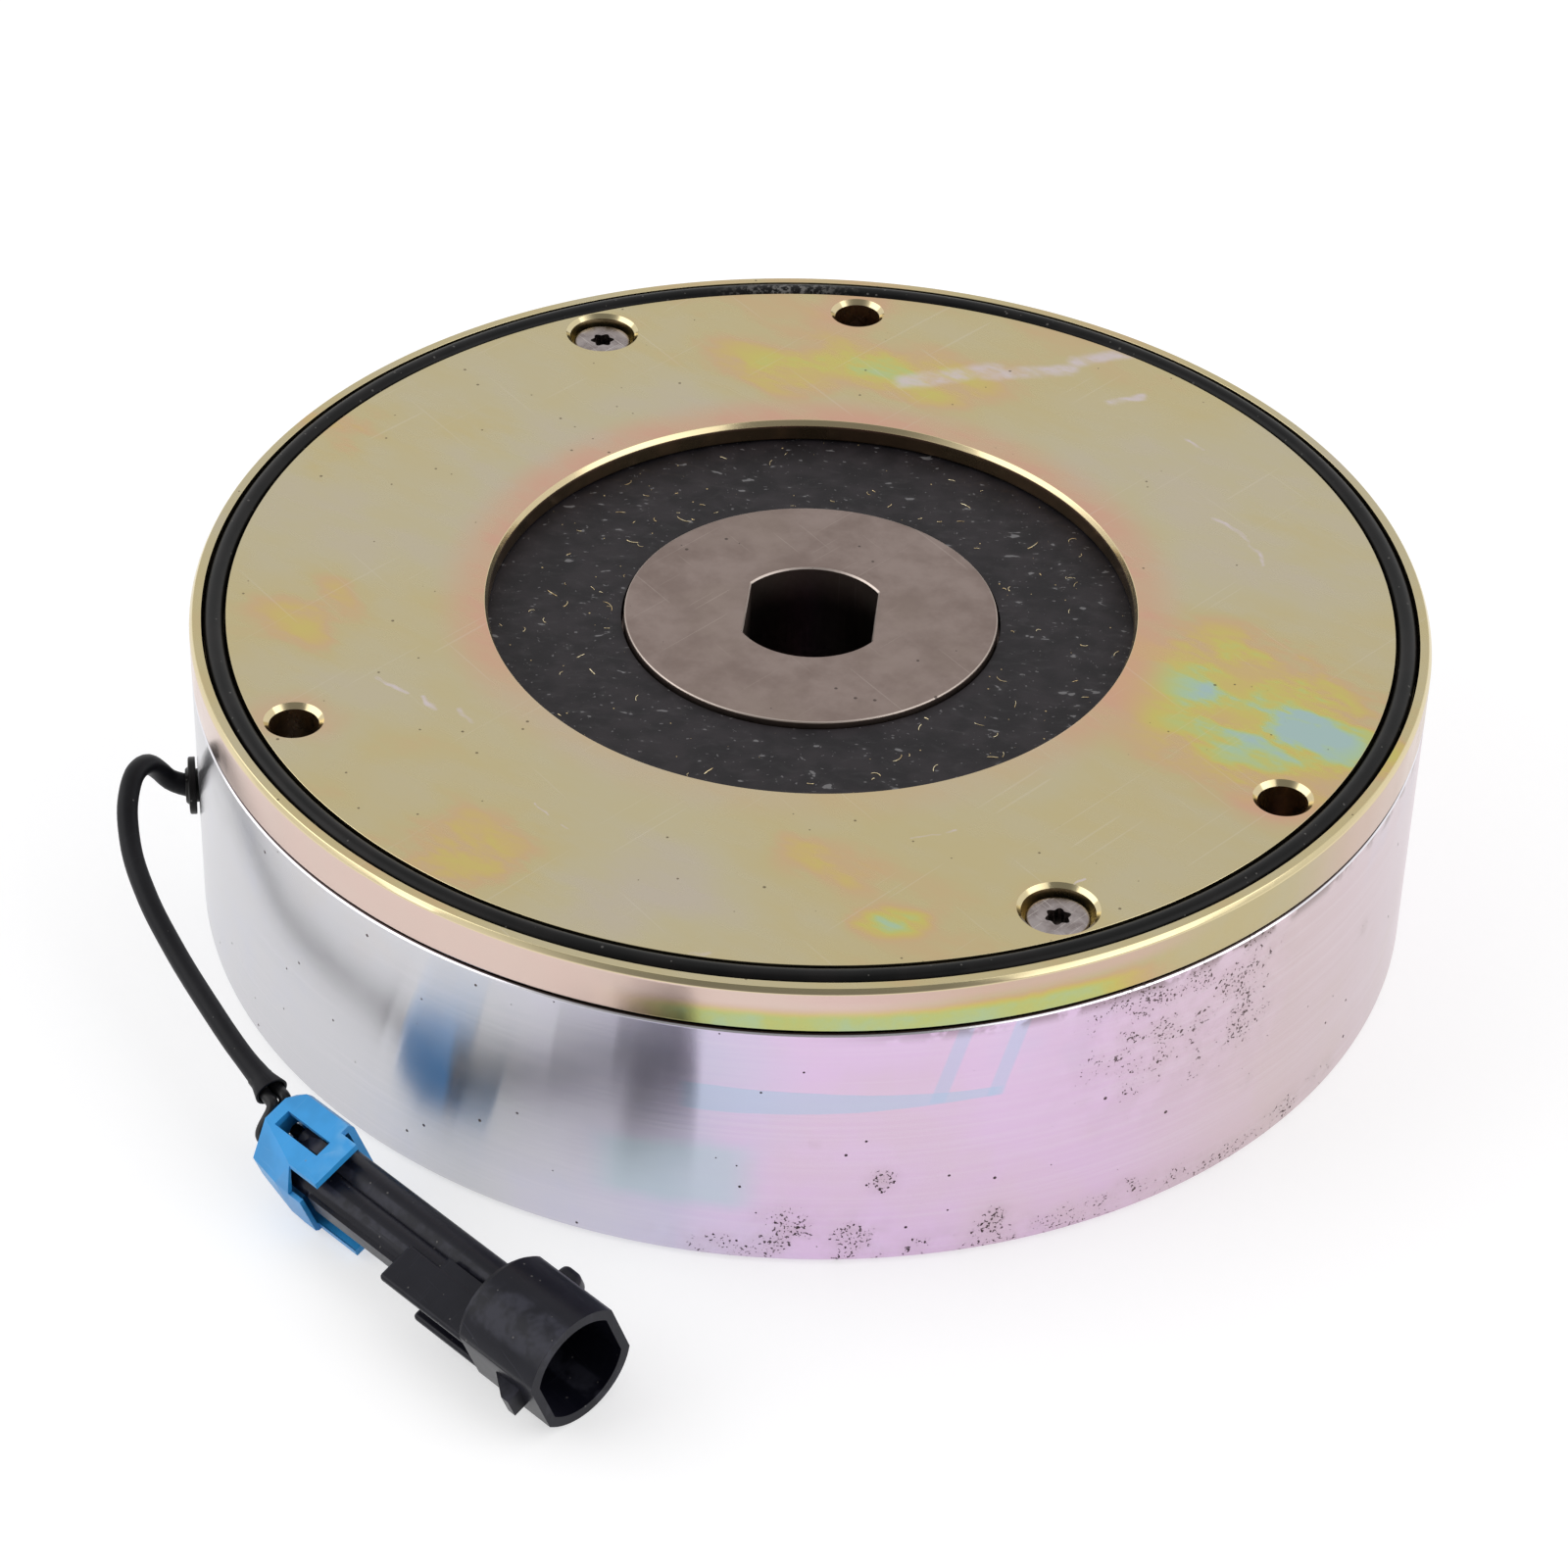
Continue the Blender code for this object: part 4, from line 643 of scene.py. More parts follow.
def make_wire_seal(number, way):
    start, end = SEAL_START, SEAL_END
    ribs = []
    for i in range(25):
        x = start + (end - start) * i / 24
        ribs.append((0.00137 + 0.00008 * math.cos(math.tau * 3 * i / 24), x))
    profile = [(0.00105, start)] + ribs + [(0.00105, end)]
    seal = lathe(f"wire_seal_{number}_fine", profile[::-1], 32)
    moved(seal, Matrix.Translation((0.0, way, 0.0)) @ UP_TO_X)
    return smooth(moved(seal, TO_PLUG), 50.0)


def make_wire(number, way, path_end, heading):
    shift = (number - 1.5) * 0.0017
    across = UP.cross(heading).normalized()
    leave = path_end + across * shift + heading * GAP
    route = [leave - heading * 0.0030, leave, leave + heading * 0.0012]
    for x, z in ((-0.0016, 0.0003), (0.0002, 0.0), (0.0009, 0.0), (SEAL_END, 0.0)):
        route.append(TO_PLUG @ Vector((x, way, z)))
    return tube(f"lead_wire_{number}_fine", smooth_path(route, 0.0003), WIRE_R, 16)


def make_cuff(path_end, heading):
    """The sleeve's open end, spread a little round the two wires."""
    wall = 0.0003
    profile = [
        (SLEEVE_R * 0.90, -0.0042), (SLEEVE_R * 0.98, -0.0022, 0.0006), (SLEEVE_R * 1.22, 0.0, 0.0001),
        (SLEEVE_R * 1.22 - wall, 0.0, 0.0001), (SLEEVE_R * 0.98 - wall, -0.0022, 0.0006),
        (SLEEVE_R * 0.90 - wall, -0.0042),
    ]
    cuff = lathe("sleeve_end", profile, 40)
    for vertex in cuff.data.vertices:
        vertex.co.x *= 1.0 + 0.16 * max(0.0, 1.0 + vertex.co.z / 0.0022)
    across = UP.cross(heading).normalized()
    turn = Matrix((across, heading.cross(across), heading)).transposed().to_4x4()
    return smooth(moved(cuff, Matrix.Translation(path_end) @ turn), 50.0)


def make_grommet():
    face, top = BODY_R + GAP, BODY_R + GAP + GROMMET_THICK
    inner, stub = SLEEVE_R + GAP, LEAD_HOLE_R - GAP
    profile = [
        (stub, top + 0.0004, 0.0001), (stub + 0.0003, top, 0.0001), (GROMMET_R, top, 0.0003),
        (GROMMET_R, face, 0.0001), (stub, face), (stub, face - 0.0080), (inner, face - 0.0080),
        (inner, top + 0.0004, 0.0001),
    ]
    grommet = lathe("cable_grommet_fine", profile, 48)
    return smooth(moved(grommet, lead_frame()), 50.0)


# Materials


class Nodes:
    """A short way to write the nodes of a material, or of the world."""

    def __init__(self, name, world=None):
        self.owner = world or bpy.data.materials.new(name)
        self.owner.use_nodes = True
        self.tree = self.owner.node_tree
        self.shader = self.tree.nodes.get("Principled BSDF")
        self.coords = self.node("TexCoord").outputs["Object"]
        self.x, self.y, self.z = self.split(self.coords)
        self._ragged = None

    def node(self, kind, inputs=(), **settings):
        """A new node. Its inputs go by name or number, or in order."""
        made = self.tree.nodes.new("ShaderNode" + kind)
        for key, value in settings.items():
            setattr(made, key, value)
        for key, value in inputs.items() if isinstance(inputs, dict) else enumerate(inputs):
            self.feed(made.inputs[key], value)
        return made

    def feed(self, socket, value):
        if isinstance(value, bpy.types.NodeSocket):
            self.tree.links.new(value, socket)
        elif socket.type == "RGBA" and not isinstance(value, (int, float)):
            socket.default_value = (*value[:3], 1.0)
        else:
            socket.default_value = value

    def split(self, vector):
        return self.node("SeparateXYZ", [vector]).outputs

    def math(self, operation, *values, clamp=False):
        return self.node("Math", values, operation=operation, use_clamp=clamp).outputs[0]

    def chain(self, operation, values):
        total = values[0]
        for value in values[1:]:
            total = self.math(operation, total, value)
        return total

    def times(self, *values):
        return self.chain("MULTIPLY", values)

    def plus(self, *values):
        return self.chain("ADD", values)

    def minus(self, value, less):
        return self.math("SUBTRACT", value, less)

    def larger(self, *values):
        return self.chain("MAXIMUM", values)

    def vectors(self, operation, *values):
        return self.node("VectorMath", values, operation=operation).outputs

    def stretched(self, vector, factor):
        return self.node("VectorMath", {0: vector, "Scale": factor}, operation="SCALE").outputs[0]

    def scaled(self, vector, scale):
        return self.node("Mapping", {"Vector": vector, "Scale": scale}).outputs[0]

    def turned(self, angle, scale, shift=0.0):
        """The coordinates in a frame that is turned round Z, scaled and shifted."""
        inputs = (self.coords, (shift,) * 3, (0.0, 0.0, angle), scale)
        return self.node("Mapping", inputs, vector_type="TEXTURE").outputs[0]

    def noise(self, scale, detail=3.0, rough=0.5, vector=None):
        vector = self.coords if vector is None else vector
        inputs = {"Vector": vector, "Scale": scale, "Detail": detail, "Roughness": rough}
        return self.node("TexNoise", inputs).outputs["Fac"]

    def ramp(self, value, *stops):
        """Colours or grey levels by value: (place, level) pairs."""
        node = self.node("ValToRGB", [value])
        elements = node.color_ramp.elements
        while len(elements) < len(stops):
            elements.new(0.5)
        for element, (place, level) in zip(elements, stops):
            element.position = place
            level = (level,) * 3 if isinstance(level, (int, float)) else level
            element.color = (*level, 1.0)
        return node.outputs[0]

    def band(self, value, low, high, out_low=0.0, out_high=1.0):
        """A smooth step between two levels, as a value goes from low to high."""
        inputs = (value, low, high, out_low, out_high)
        return self.node("MapRange", inputs, interpolation_type="SMOOTHSTEP").outputs[0]

    def mix(self, factor, a, b):
        return self.node("Mix", {0: factor, 6: a, 7: b}, data_type="RGBA").outputs[2]

    def over(self, colour, *layers):
        """A colour with others over it in turn: (mask, new), or (mask, amount, new)."""
        for mask, *amount, new in layers:
            colour = self.mix(self.times(mask, *amount), colour, new)
        return colour

    def spot(self, place, size, vector=None):
        """1 at a place, falling to 0 at its size (a length, or one each way)."""
        size = size if hasattr(size, "__len__") else (size,) * 3
        away = self.vectors("SUBTRACT", self.coords if vector is None else vector, place)[0]
        share = self.vectors("DIVIDE", away, size)[0]
        return self.band(self.vectors("LENGTH", share)["Value"], 1.0, 0.0)

    def warp(self, scale, amount):
        """The coordinates, pushed about by noise."""
        noise = self.node("TexNoise", {"Vector": self.coords, "Scale": scale, "Detail": 2.0})
        push = self.vectors("SUBTRACT", noise.outputs["Color"], (0.5, 0.5, 0.5))[0]
        return self.vectors("ADD", self.coords, self.stretched(push, amount))[0]

    def turn(self):
        """How far round Z, from 0 to 1."""
        angle = self.math("ARCTAN2", self.y, self.x)
        return self.math("FRACT", self.plus(self.math("DIVIDE", angle, math.tau), 1.0))

    def near(self, value, centre, half, soft):
        """1 within half of a value, falling to 0 over a soft edge."""
        return self.band(self.math("ABSOLUTE", self.minus(value, centre)), half + soft, half)

    def dots(self, scale, size):
        """Round specks of uneven size, in some of the cells only."""
        cells = self.node("TexVoronoi", {"Vector": self.coords, "Scale": scale}).outputs
        reach = self.times(self.band(self.split(cells["Color"])[0], 0.35, 1.0), size)
        return self.math("LESS_THAN", cells["Distance"], reach)

    def scratches(self, scale, level):
        """Hairline scratches in two directions, on flat faces."""
        total = 0.0
        for turn, shift in ((0.9, 0.0), (2.3, 0.3)):
            lines = self.noise(scale, 0.0, 0.4, self.turned(turn, (1.0, 1.0 / 60.0, 1.0), shift))
            total = self.larger(total, self.band(lines, level, level + 0.02))
        return total

    def specks(self, scale, where):
        """Fine uneven specks, denser as where goes from 0 to 1."""
        level = self.band(where, 0.0, 1.0, 0.80, 0.56)
        return self.band(self.minus(self.noise(scale, 2.0, 0.65), level), 0.0, 0.03)

    def streak(self, ax, ay, bx, by, wide, height):
        """A ragged mark from one place to another, in millimetres, on a face at a height."""
        start = Vector((ax * MM, ay * MM, height))
        run = Vector((bx * MM, by * MM, height)) - start
        if self._ragged is None:
            self._ragged = self.warp(350.0, 0.0016)
        here = self.vectors("SUBTRACT", self._ragged, start)[0]
        share = self.vectors("DOT_PRODUCT", here, run)["Value"]
        share = self.math("DIVIDE", share, run.length_squared, clamp=True)
        away = self.vectors("DISTANCE", here, self.stretched(run, share))["Value"]
        return self.band(away, 0.6 * wide * MM, 0.1 * wide * MM)

    def radius(self):
        return self.math("SQRT", self.plus(self.times(self.x, self.x), self.times(self.y, self.y)))

    def seen(self):
        """1 for rays from the camera, in a mirror or through glass."""
        paths = self.node("LightPath").outputs
        total = self.larger(paths["Is Camera Ray"], paths["Is Glossy Ray"])
        return self.larger(total, paths["Is Transmission Ray"])

    def sloping(self, low, high, flat):
        """1 where a face leans, as chamfers and rounded edges do."""
        lean = self.split(self.node("NewGeometry").outputs["Normal"])[2]
        return self.times(self.band(lean, low, high), self.band(lean, flat, 0.90))

    def bump(self, height, strength, distance):
        inputs = {"Strength": strength, "Distance": distance, "Height": height}
        return self.node("Bump", inputs).outputs[0]

    def done(self, colour, roughness, metallic=0.0, normal=None, **uniform):
        inputs = {"Base Color": colour, "Roughness": roughness, "Metallic": metallic}
        if normal is not None:
            inputs["Normal"] = normal
        for key, value in (inputs | uniform).items():
            self.feed(self.shader.inputs[key.replace("_", " ")], value)
        return self.owner


def plain_metal(name, colour, rough):
    n = Nodes(name)
    cloud = n.noise(120.0, 4.0, 0.6)
    fine = n.noise(1400.0, 3.0, 0.6)
    darker = tuple(0.7 * c for c in colour)
    tone = n.mix(n.ramp(cloud, (0.35, 0.0), (0.65, 1.0)), darker, colour)
    tone = n.over(tone, (n.scratches(65.0, 0.72), 0.5, tuple(0.5 + 0.5 * c for c in colour)))
    rough = n.ramp(fine, (0.3, rough * 0.8), (0.7, rough * 1.25))
    return n.done(tone, rough, 1.0, n.bump(fine, 0.15, 0.00002))


def plain_plastic(name, colour, rough, lighter=1.6):
    n = Nodes(name)
    fine = n.noise(2500.0, 2.0, 0.5)
    cloud = n.noise(150.0, 3.0, 0.55)
    tone = n.mix(n.band(cloud, 0.35, 0.7), colour, tuple(min(1.0, lighter * c + 0.003) for c in colour))
    dust = n.times(n.band(n.noise(2600.0, 2.0), 0.66, 0.72), n.band(n.noise(60.0), 0.45, 0.6))
    tone = n.over(tone, (dust, 0.5, (0.16, 0.15, 0.14)))
    rough = n.ramp(cloud, (0.3, rough * 0.85), (0.7, rough * 1.15))
    return n.done(tone, rough, 0.0, n.bump(fine, 0.2, 0.00003))


def copper_winding():
    n = Nodes("copper_winding")
    layers = n.math("SINE", n.times(n.z, math.tau / 0.0006))
    turns = n.math("SINE", n.times(n.radius(), math.tau / 0.0006))
    wire = n.band(n.plus(layers, turns), -1.2, 1.2)
    # Darker in the creases between the turns of wire: painted shade, with a bump of the same shape
    tone = n.mix(wire, (0.20, 0.07, 0.03), (0.66, 0.28, 0.13))
    tone = n.over(tone, (n.band(n.noise(300.0), 0.45, 0.65), (0.50, 0.19, 0.08)))
    return n.done(tone, 0.32, 1.0, n.bump(wire, 0.6, 0.0001))


def in_bolt_holes(n):
    """1 on the walls of the bolt holes, below their chamfers, where painted shade goes."""
    reach = BOLT_R + 0.0006
    spots = [n.spot(polar(BOLT_CIRCLE, angle, COVER_TOP), (reach, reach, 1.0)) for angle in BOLT_ANGLES]
    inside = n.larger(*spots)
    return n.times(n.band(inside, 0.10, 0.15), n.band(n.z, COVER_TOP - 0.0007, COVER_TOP - 0.0014))


def yellow_zinc():
    """Yellow chromate on zinc: its colour goes round as the film gets thicker."""
    n = Nodes("yellow_zinc")
    cloudy = n.warp(70.0, 0.010)
    r = n.radius()

    def patch(x, y, wide, tall):
        return n.spot((x * MM, y * MM, COVER_TOP), (wide * MM, tall * MM, 0.03), cloudy)

    def round_patch(circle, angle, size):
        place = polar(circle / MM, angle)
        return patch(place.x, place.y, size, size)

    def add(total, value, amount):
        return n.plus(total, n.times(value, amount))

    # Streaky where the film is thick, as it ran when it was dipped
    slant = n.turned(-0.5, (1.0, 0.40, 1.0))
    streaky = n.band(n.noise(80.0, 4.0, 0.58, slant), 0.30, 0.70)
    film = add(0.06, n.band(n.noise(22.0, 3.0, 0.55, cloudy), 0.30, 0.70), 0.30)
    film = add(film, streaky, 0.10)
    behind = n.band(n.y, -0.036, -0.012, 0.25, 1.0)
    film = add(film, n.times(n.band(r, BORE_R + 0.0055, BORE_R), behind), 0.10)
    thick = 0.0
    for x, y, wide, tall, amount in (
        (58, -20, 23, 19, 0.66), (50, -6, 19, 18, 0.36), (-2, 53, 32, 12, 0.34),
        (-34, -57, 22, 14, 0.26), (-64, 27, 9, 18, 0.22), (60, 24, 16, 20, 0.12),
        (14, -62, 7, 4.5, 0.46), (7, -52, 9, 7, 0.22), (-60, -12, 9, 16, 0.22),
        (-47, 30, 14, 12, 0.16),
    ):
        thick = add(thick, patch(x, y, wide, tall), amount)
    film = n.plus(film, n.times(thick, n.band(streaky, 0.0, 1.0, 0.66, 1.34)))
    thin = ((-16, -60, 24, 15, 0.20), (30, -52, 22, 15, 0.14), (52, 8, 16, 20, 0.05))
    for x, y, wide, tall, less in thin:
        film = add(film, patch(x, y, wide, tall), -less)
    for circle, angles, amount in ((BOLT_CIRCLE, BOLT_ANGLES, 0.12), (SCREW_CIRCLE, SCREW_ANGLES, 0.18)):
        for angle in angles:
            film = add(film, round_patch(circle, angle, 9), amount)
    # The rim's side: pink above, yellow and green below and towards the front right
    turn = n.turn()
    side = n.band(r, BODY_R - 0.0003, BODY_R - 0.0001)
    bottom = n.band(n.z, COVER_LOW + 0.0040, COVER_LOW + 0.0018)
    bottom = n.times(bottom, n.near(turn, 0.785, 0.045, 0.03))
    side_film = add(add(0.33, bottom, 0.42), n.band(turn, 0.80, 0.92), -0.12)
    side_film = add(side_film, n.band(n.noise(160.0, 4.0, 0.6), 0.35, 0.65), 0.10)
    face = n.minus(1.0, side)
    film = n.plus(n.times(film, face), n.times(side_film, side))
    colour = n.ramp(
        film,
        (0.00, (0.49, 0.43, 0.34)), (0.18, (0.50, 0.44, 0.285)), (0.36, (0.51, 0.43, 0.235)),
        (0.47, (0.55, 0.395, 0.22)), (0.57, (0.565, 0.425, 0.17)), (0.67, (0.55, 0.475, 0.14)),
        (0.77, (0.47, 0.51, 0.19)), (0.89, (0.39, 0.52, 0.34)), (1.00, (0.36, 0.49, 0.47)),
    )
    # Pinker round the bore's right and back and round the bolt holes, and on the rim's left
    pink = n.times(n.band(r, BORE_R + 0.0075, BORE_R + 0.0010), behind)
    for angle in BOLT_ANGLES:
        pink = n.larger(pink, n.times(round_patch(BOLT_CIRCLE, angle, 7), 0.9))
    pink = n.times(pink, n.band(streaky, 0.0, 1.0, 0.5, 0.8), face)
    blush = n.times(n.near(turn, 0.655, 0.115, 0.04), n.minus(1.0, bottom), side)
    upper = n.times(n.near(turn, 0.81, 0.03, 0.03), n.band(n.z, COVER_LOW + 0.0028, COVER_LOW + 0.0048))
    rosy = n.times(n.larger(upper, n.near(turn, 0.945, 0.02, 0.035)), side)
    colour = n.over(
        colour,
        (pink, (0.60, 0.33, 0.25)),
        (blush, 0.8, (0.72, 0.55, 0.52)),
        (rosy, 0.6, (0.64, 0.43, 0.41)),
    )
    # Scuffs down to the bare zinc
    marks = 0.0
    for ax, ay, bx, by, wide in (
        (8, 51, 19, 55.5, 4.2), (18, 54, 29, 57, 3.4), (30, 59, 37, 62.5, 3.2),
        (35, 49.5, 39, 51.5, 1.8), (49, 24, 53, 20.5, 0.8), (53, 20.5, 55.5, 14.5, 0.7),
        (-50, -24, -46, -26.5, 0.9), (-44, -27, -42, -29.5, 0.8), (-39.5, -29, -37.5, -31.5, 0.8),
        (-28, -46, -23, -51, 0.35), (16, -47, 21, -45, 0.4), (30, -58, 36, -52, 0.45),
        (-7, -71, -5, -70.7, 0.6), (44, 43, 47, 40, 0.6),
    ):
        marks = n.larger(marks, n.streak(ax, ay, bx, by, wide, COVER_TOP))
    on_top = n.band(n.z, COVER_TOP - 0.0003, COVER_TOP - 0.0001)
    wispy = n.band(n.noise(300.0, 3.0, 0.65, slant), 0.34, 0.62, 0.35, 1.0)
    marks = n.times(marks, wispy, on_top)
    # Chamfers and rounded edges that lean upwards are painted bright gold, partly rubbed wear and partly
    # a painted highlight; the groove darkens over its first millimetre down; painted shade down the bore
    # wall and in the bolt holes
    edge = n.sloping(0.15, 0.30, 0.97)
    down = n.minus(COVER_TOP, n.z)
    deep = n.times(n.near(r, GROOVE_OUT - 0.0015, 0.0014, 0.0001), n.band(down, 0.0, 0.0010))
    # wall: the bore wall, painted darker further down as painted shade
    wall = n.times(n.band(r, BORE_R + 0.0003, BORE_R + 0.0001), n.band(down, 0.0006, 0.0012))
    colour = n.over(
        colour,
        (marks, 0.85, (0.62, 0.54, 0.56)),
        (n.times(n.scratches(42.0, 0.80), on_top), 0.18, (0.66, 0.60, 0.50)),
        (n.times(n.dots(420.0, 0.085), on_top), 0.75, (0.10, 0.07, 0.04)),
        # painted highlight on upward-leaning chamfers and rounded edges, partly rubbed wear
        (edge, 0.85, (0.70, 0.60, 0.36)),
        (deep, (0.12, 0.09, 0.05)),
        # painted shade on the bore wall
        (wall, 0.65, (0.13, 0.11, 0.045)),
        # painted shade in the bolt holes
        (in_bolt_holes(n), 0.92, (0.03, 0.022, 0.012)),
    )
    grain = n.noise(1500.0, 2.0, 0.65)
    rough = n.band(streaky, 0.0, 1.0, 0.25, 0.32)
    for mask, amount in ((edge, -0.12), (marks, 0.12), (side, -0.08)):
        rough = add(rough, mask, amount)
    return n.done(colour, rough, 1.0, n.bump(grain, 0.035, 0.00002))


def clear_zinc():
    """Blue clear chromate on turned zinc, stained, with corrosion specks low down."""
    n = Nodes("clear_zinc")
    soft = n.times(n.minus(n.noise(45.0, 4.0, 0.6), 0.5), 0.06)
    exact = n.turn()
    turn = n.math("FRACT", n.plus(exact, soft))
    height = n.plus(n.z, n.times(n.minus(n.noise(70.0, 4.0, 0.6), 0.5), 0.004))
    colour = n.ramp(
        turn,
        (0.00, (0.66, 0.55, 0.60)), (0.12, (0.64, 0.57, 0.55)), (0.25, (0.62, 0.60, 0.66)),
        (0.40, (0.64, 0.64, 0.66)), (0.58, (0.64, 0.635, 0.66)), (0.68, (0.62, 0.62, 0.65)),
        (0.735, (0.62, 0.58, 0.74)), (0.77, (0.73, 0.54, 0.76)), (0.83, (0.70, 0.51, 0.70)),
        (0.90, (0.66, 0.53, 0.55)), (1.00, (0.66, 0.55, 0.60)),
    )
    # Streaks along the turning, and slow cloudy stains
    lines = n.noise(60.0, 3.0, 0.7, n.scaled(n.coords, (0.25, 0.25, 30.0)))
    stains = n.noise(38.0, 4.0, 0.6)
    colour = n.over(
        colour,
        (n.band(stains, 0.52, 0.74, 0.0, 0.22), (0.66, 0.56, 0.46)),
        (n.band(stains, 0.46, 0.28, 0.0, 0.25), (0.50, 0.53, 0.70)),
        (n.band(lines, 0.40, 0.70, 0.0, 0.14), (0.80, 0.76, 0.80)),
    )
    # A pale blue band and two slanting blue stripes on the front right are painted reflections
    thin = n.plus(n.band(exact, 0.735, 0.805, 0.0019, 0.0008), n.times(soft, 0.02))
    painted_blue_reflection = n.math("LESS_THAN", n.math("ABSOLUTE", n.minus(n.z, 0.0244)), thin)
    painted_blue_reflection = n.times(painted_blue_reflection, n.near(exact, 0.773, 0.036, 0.004))
    colour = n.over(colour, (painted_blue_reflection, 0.60, (0.45, 0.58, 0.74)))
    slant = n.minus(exact, n.times(n.minus(n.z, 0.029), 0.6))
    for place in (0.7985, 0.8125):
        painted_reflection_stripe = n.times(n.near(slant, place, 0.0015, 0.0008), n.near(n.z, 0.030, 0.006, 0.0005))
        colour = n.over(colour, (painted_reflection_stripe, 0.5, (0.45, 0.56, 0.74)))
    teal = n.times(n.near(height, 0.0125, 0.0030, 0.0030), n.near(exact, 0.733, 0.012, 0.012))
    colour = n.over(colour, (teal, 0.6, (0.48, 0.63, 0.68)))
    # Corrosion: dense at the right and along the foot, with a few single spots
    where = n.times(n.near(exact, 0.862, 0.012, 0.040), n.near(n.z, 0.0280, 0.0035, 0.0165))
    foot = n.times(n.band(height, 0.0058, 0.0032), n.near(exact, 0.830, 0.085, 0.030))
    where = n.larger(where, n.times(foot, 0.8))
    for degrees, z, wide, dense in (
        (282, 12.6, 3.2, 1.7), (274, 4.5, 7.0, 1.7), (280, 4.0, 6.0, 1.7), (292, 4.6, 4.0, 1.7),
        (305, 3.4, 3.5, 1.7), (276, 18.4, 1.2, 1.7), (305, 14.6, 1.8, 1.0), (318, 12.0, 2.5, 1.0),
        (336, 20.0, 3.0, 1.0), (100, 8.0, 6.0, 1.0), (40, 24.0, 5.0, 1.0),
    ):
        where = n.larger(where, n.times(n.spot(polar(BODY_R, degrees, z * MM), wide * MM), dense))
    patchy = n.band(n.noise(260.0, 3.0, 0.6), 0.30, 0.62)
    corroded = n.times(where, patchy)
    rust = n.times(n.specks(2300.0, corroded), n.band(where, 0.0, 0.12))
    rust = n.larger(rust, n.dots(420.0, 0.10))
    # Dirt along the seam at the right; a painted highlight along the lip of the top chamfer and a painted
    # shade line under the cover
    seam = n.times(n.band(n.z, BODY_TOP - 0.0020, BODY_TOP - 0.0003), n.near(exact, 0.88, 0.07, 0.05))
    colour = n.over(
        colour,
        (corroded, 0.18, (0.34, 0.26, 0.22)),
        (rust, 0.88, (0.055, 0.035, 0.030)),
        (n.times(seam, n.band(patchy, 0.3, 0.9)), 0.55, (0.14, 0.10, 0.08)),
        # painted highlight: a bright line along the lip of the body's top chamfer
        (n.band(n.z, BODY_TOP - 0.00032, BODY_TOP - 0.00028), (0.86, 0.84, 0.88)),
        # painted shade: a dark line on the chamfer under the cover's edge
        (n.band(n.z, BODY_TOP - 0.00014, BODY_TOP - 0.00010), (0.08, 0.06, 0.06)),
        # painted shade in the bolt holes
        (in_bolt_holes(n), 0.92, (0.02, 0.016, 0.016)),
    )
    rough = n.plus(n.band(stains, 0.3, 0.7, 0.17, 0.21), n.times(rust, 0.35))
    normal = n.bump(lines, 0.25, 0.00003)
    tangent = n.node("Tangent", direction_type="RADIAL", axis="Z").outputs[0]
    return n.done(colour, rough, 1.0, normal, Anisotropic=1.0, Anisotropic_Rotation=0.25, Tangent=tangent)


def friction_lining():
    n = Nodes("friction_lining")
    warped = n.warp(120.0, 0.004)
    long = n.noise(800.0, 2.0, 0.5, n.scaled(warped, (0.55, 1.0, 1.0)))
    small = n.noise(1900.0, 2.0, 0.5, n.scaled(warped, (0.7, 1.0, 1.0)))
    tone = n.mix(n.band(n.noise(260.0, 2.0), 0.35, 0.65), (0.010, 0.008, 0.010), (0.020, 0.016, 0.019))
    tone = n.over(
        tone,
        (n.band(small, 0.68, 0.73, 0.0, 0.80), (0.13, 0.125, 0.13)),
        (n.band(long, 0.685, 0.72, 0.0, 0.85), (0.16, 0.155, 0.16)),
        (n.dots(700.0, 0.08), 0.8, (0.60, 0.45, 0.22)),
    )
    rough = n.band(long, 0.5, 0.70, 0.60, 0.48)
    normal = n.bump(n.noise(2200.0, 2.0, 0.65), 0.35, 0.00004)
    return n.done(tone, rough, 0.0, normal, Specular_IOR_Level=0.25)


def brass():
    n = Nodes("brass")
    tone = n.mix(n.band(n.noise(900.0), 0.35, 0.65), (0.62, 0.46, 0.24), (0.95, 0.83, 0.55))
    return n.done(tone, n.band(n.noise(1500.0), 0.3, 0.7, 0.20, 0.36), 1.0)


def bright_steel():
    n = Nodes("bright_steel")
    cloud = n.noise(160.0, 4.0, 0.65)
    # bore: the shaft bore's wall, painted darker further in as painted shade
    bore = n.times(n.band(n.radius(), 0.0100, 0.0098), n.band(n.z, HUB_TOP - 0.0008, HUB_TOP - 0.0060))
    tone = n.mix(n.band(cloud, 0.30, 0.70), (0.215, 0.162, 0.142), (0.275, 0.215, 0.192))
    tone = n.over(
        tone,
        (n.band(n.noise(55.0, 4.0, 0.6), 0.48, 0.70, 0.0, 0.55), (0.255, 0.200, 0.170)),
        (n.sloping(0.10, 0.35, 0.985), 0.8, (0.60, 0.52, 0.47)),
        (n.scratches(60.0, 0.80), 0.2, (0.50, 0.43, 0.39)),
        (n.dots(420.0, 0.10), 0.8, (0.06, 0.045, 0.04)),
        # painted shade in the shaft bore
        (bore, 0.85, (0.030, 0.024, 0.022)),
    )
    rough = n.band(cloud, 0.3, 0.7, 0.44, 0.34)
    return n.done(tone, rough, 1.0, n.bump(n.noise(1500.0, 1.0, 0.6), 0.12, 0.00003))


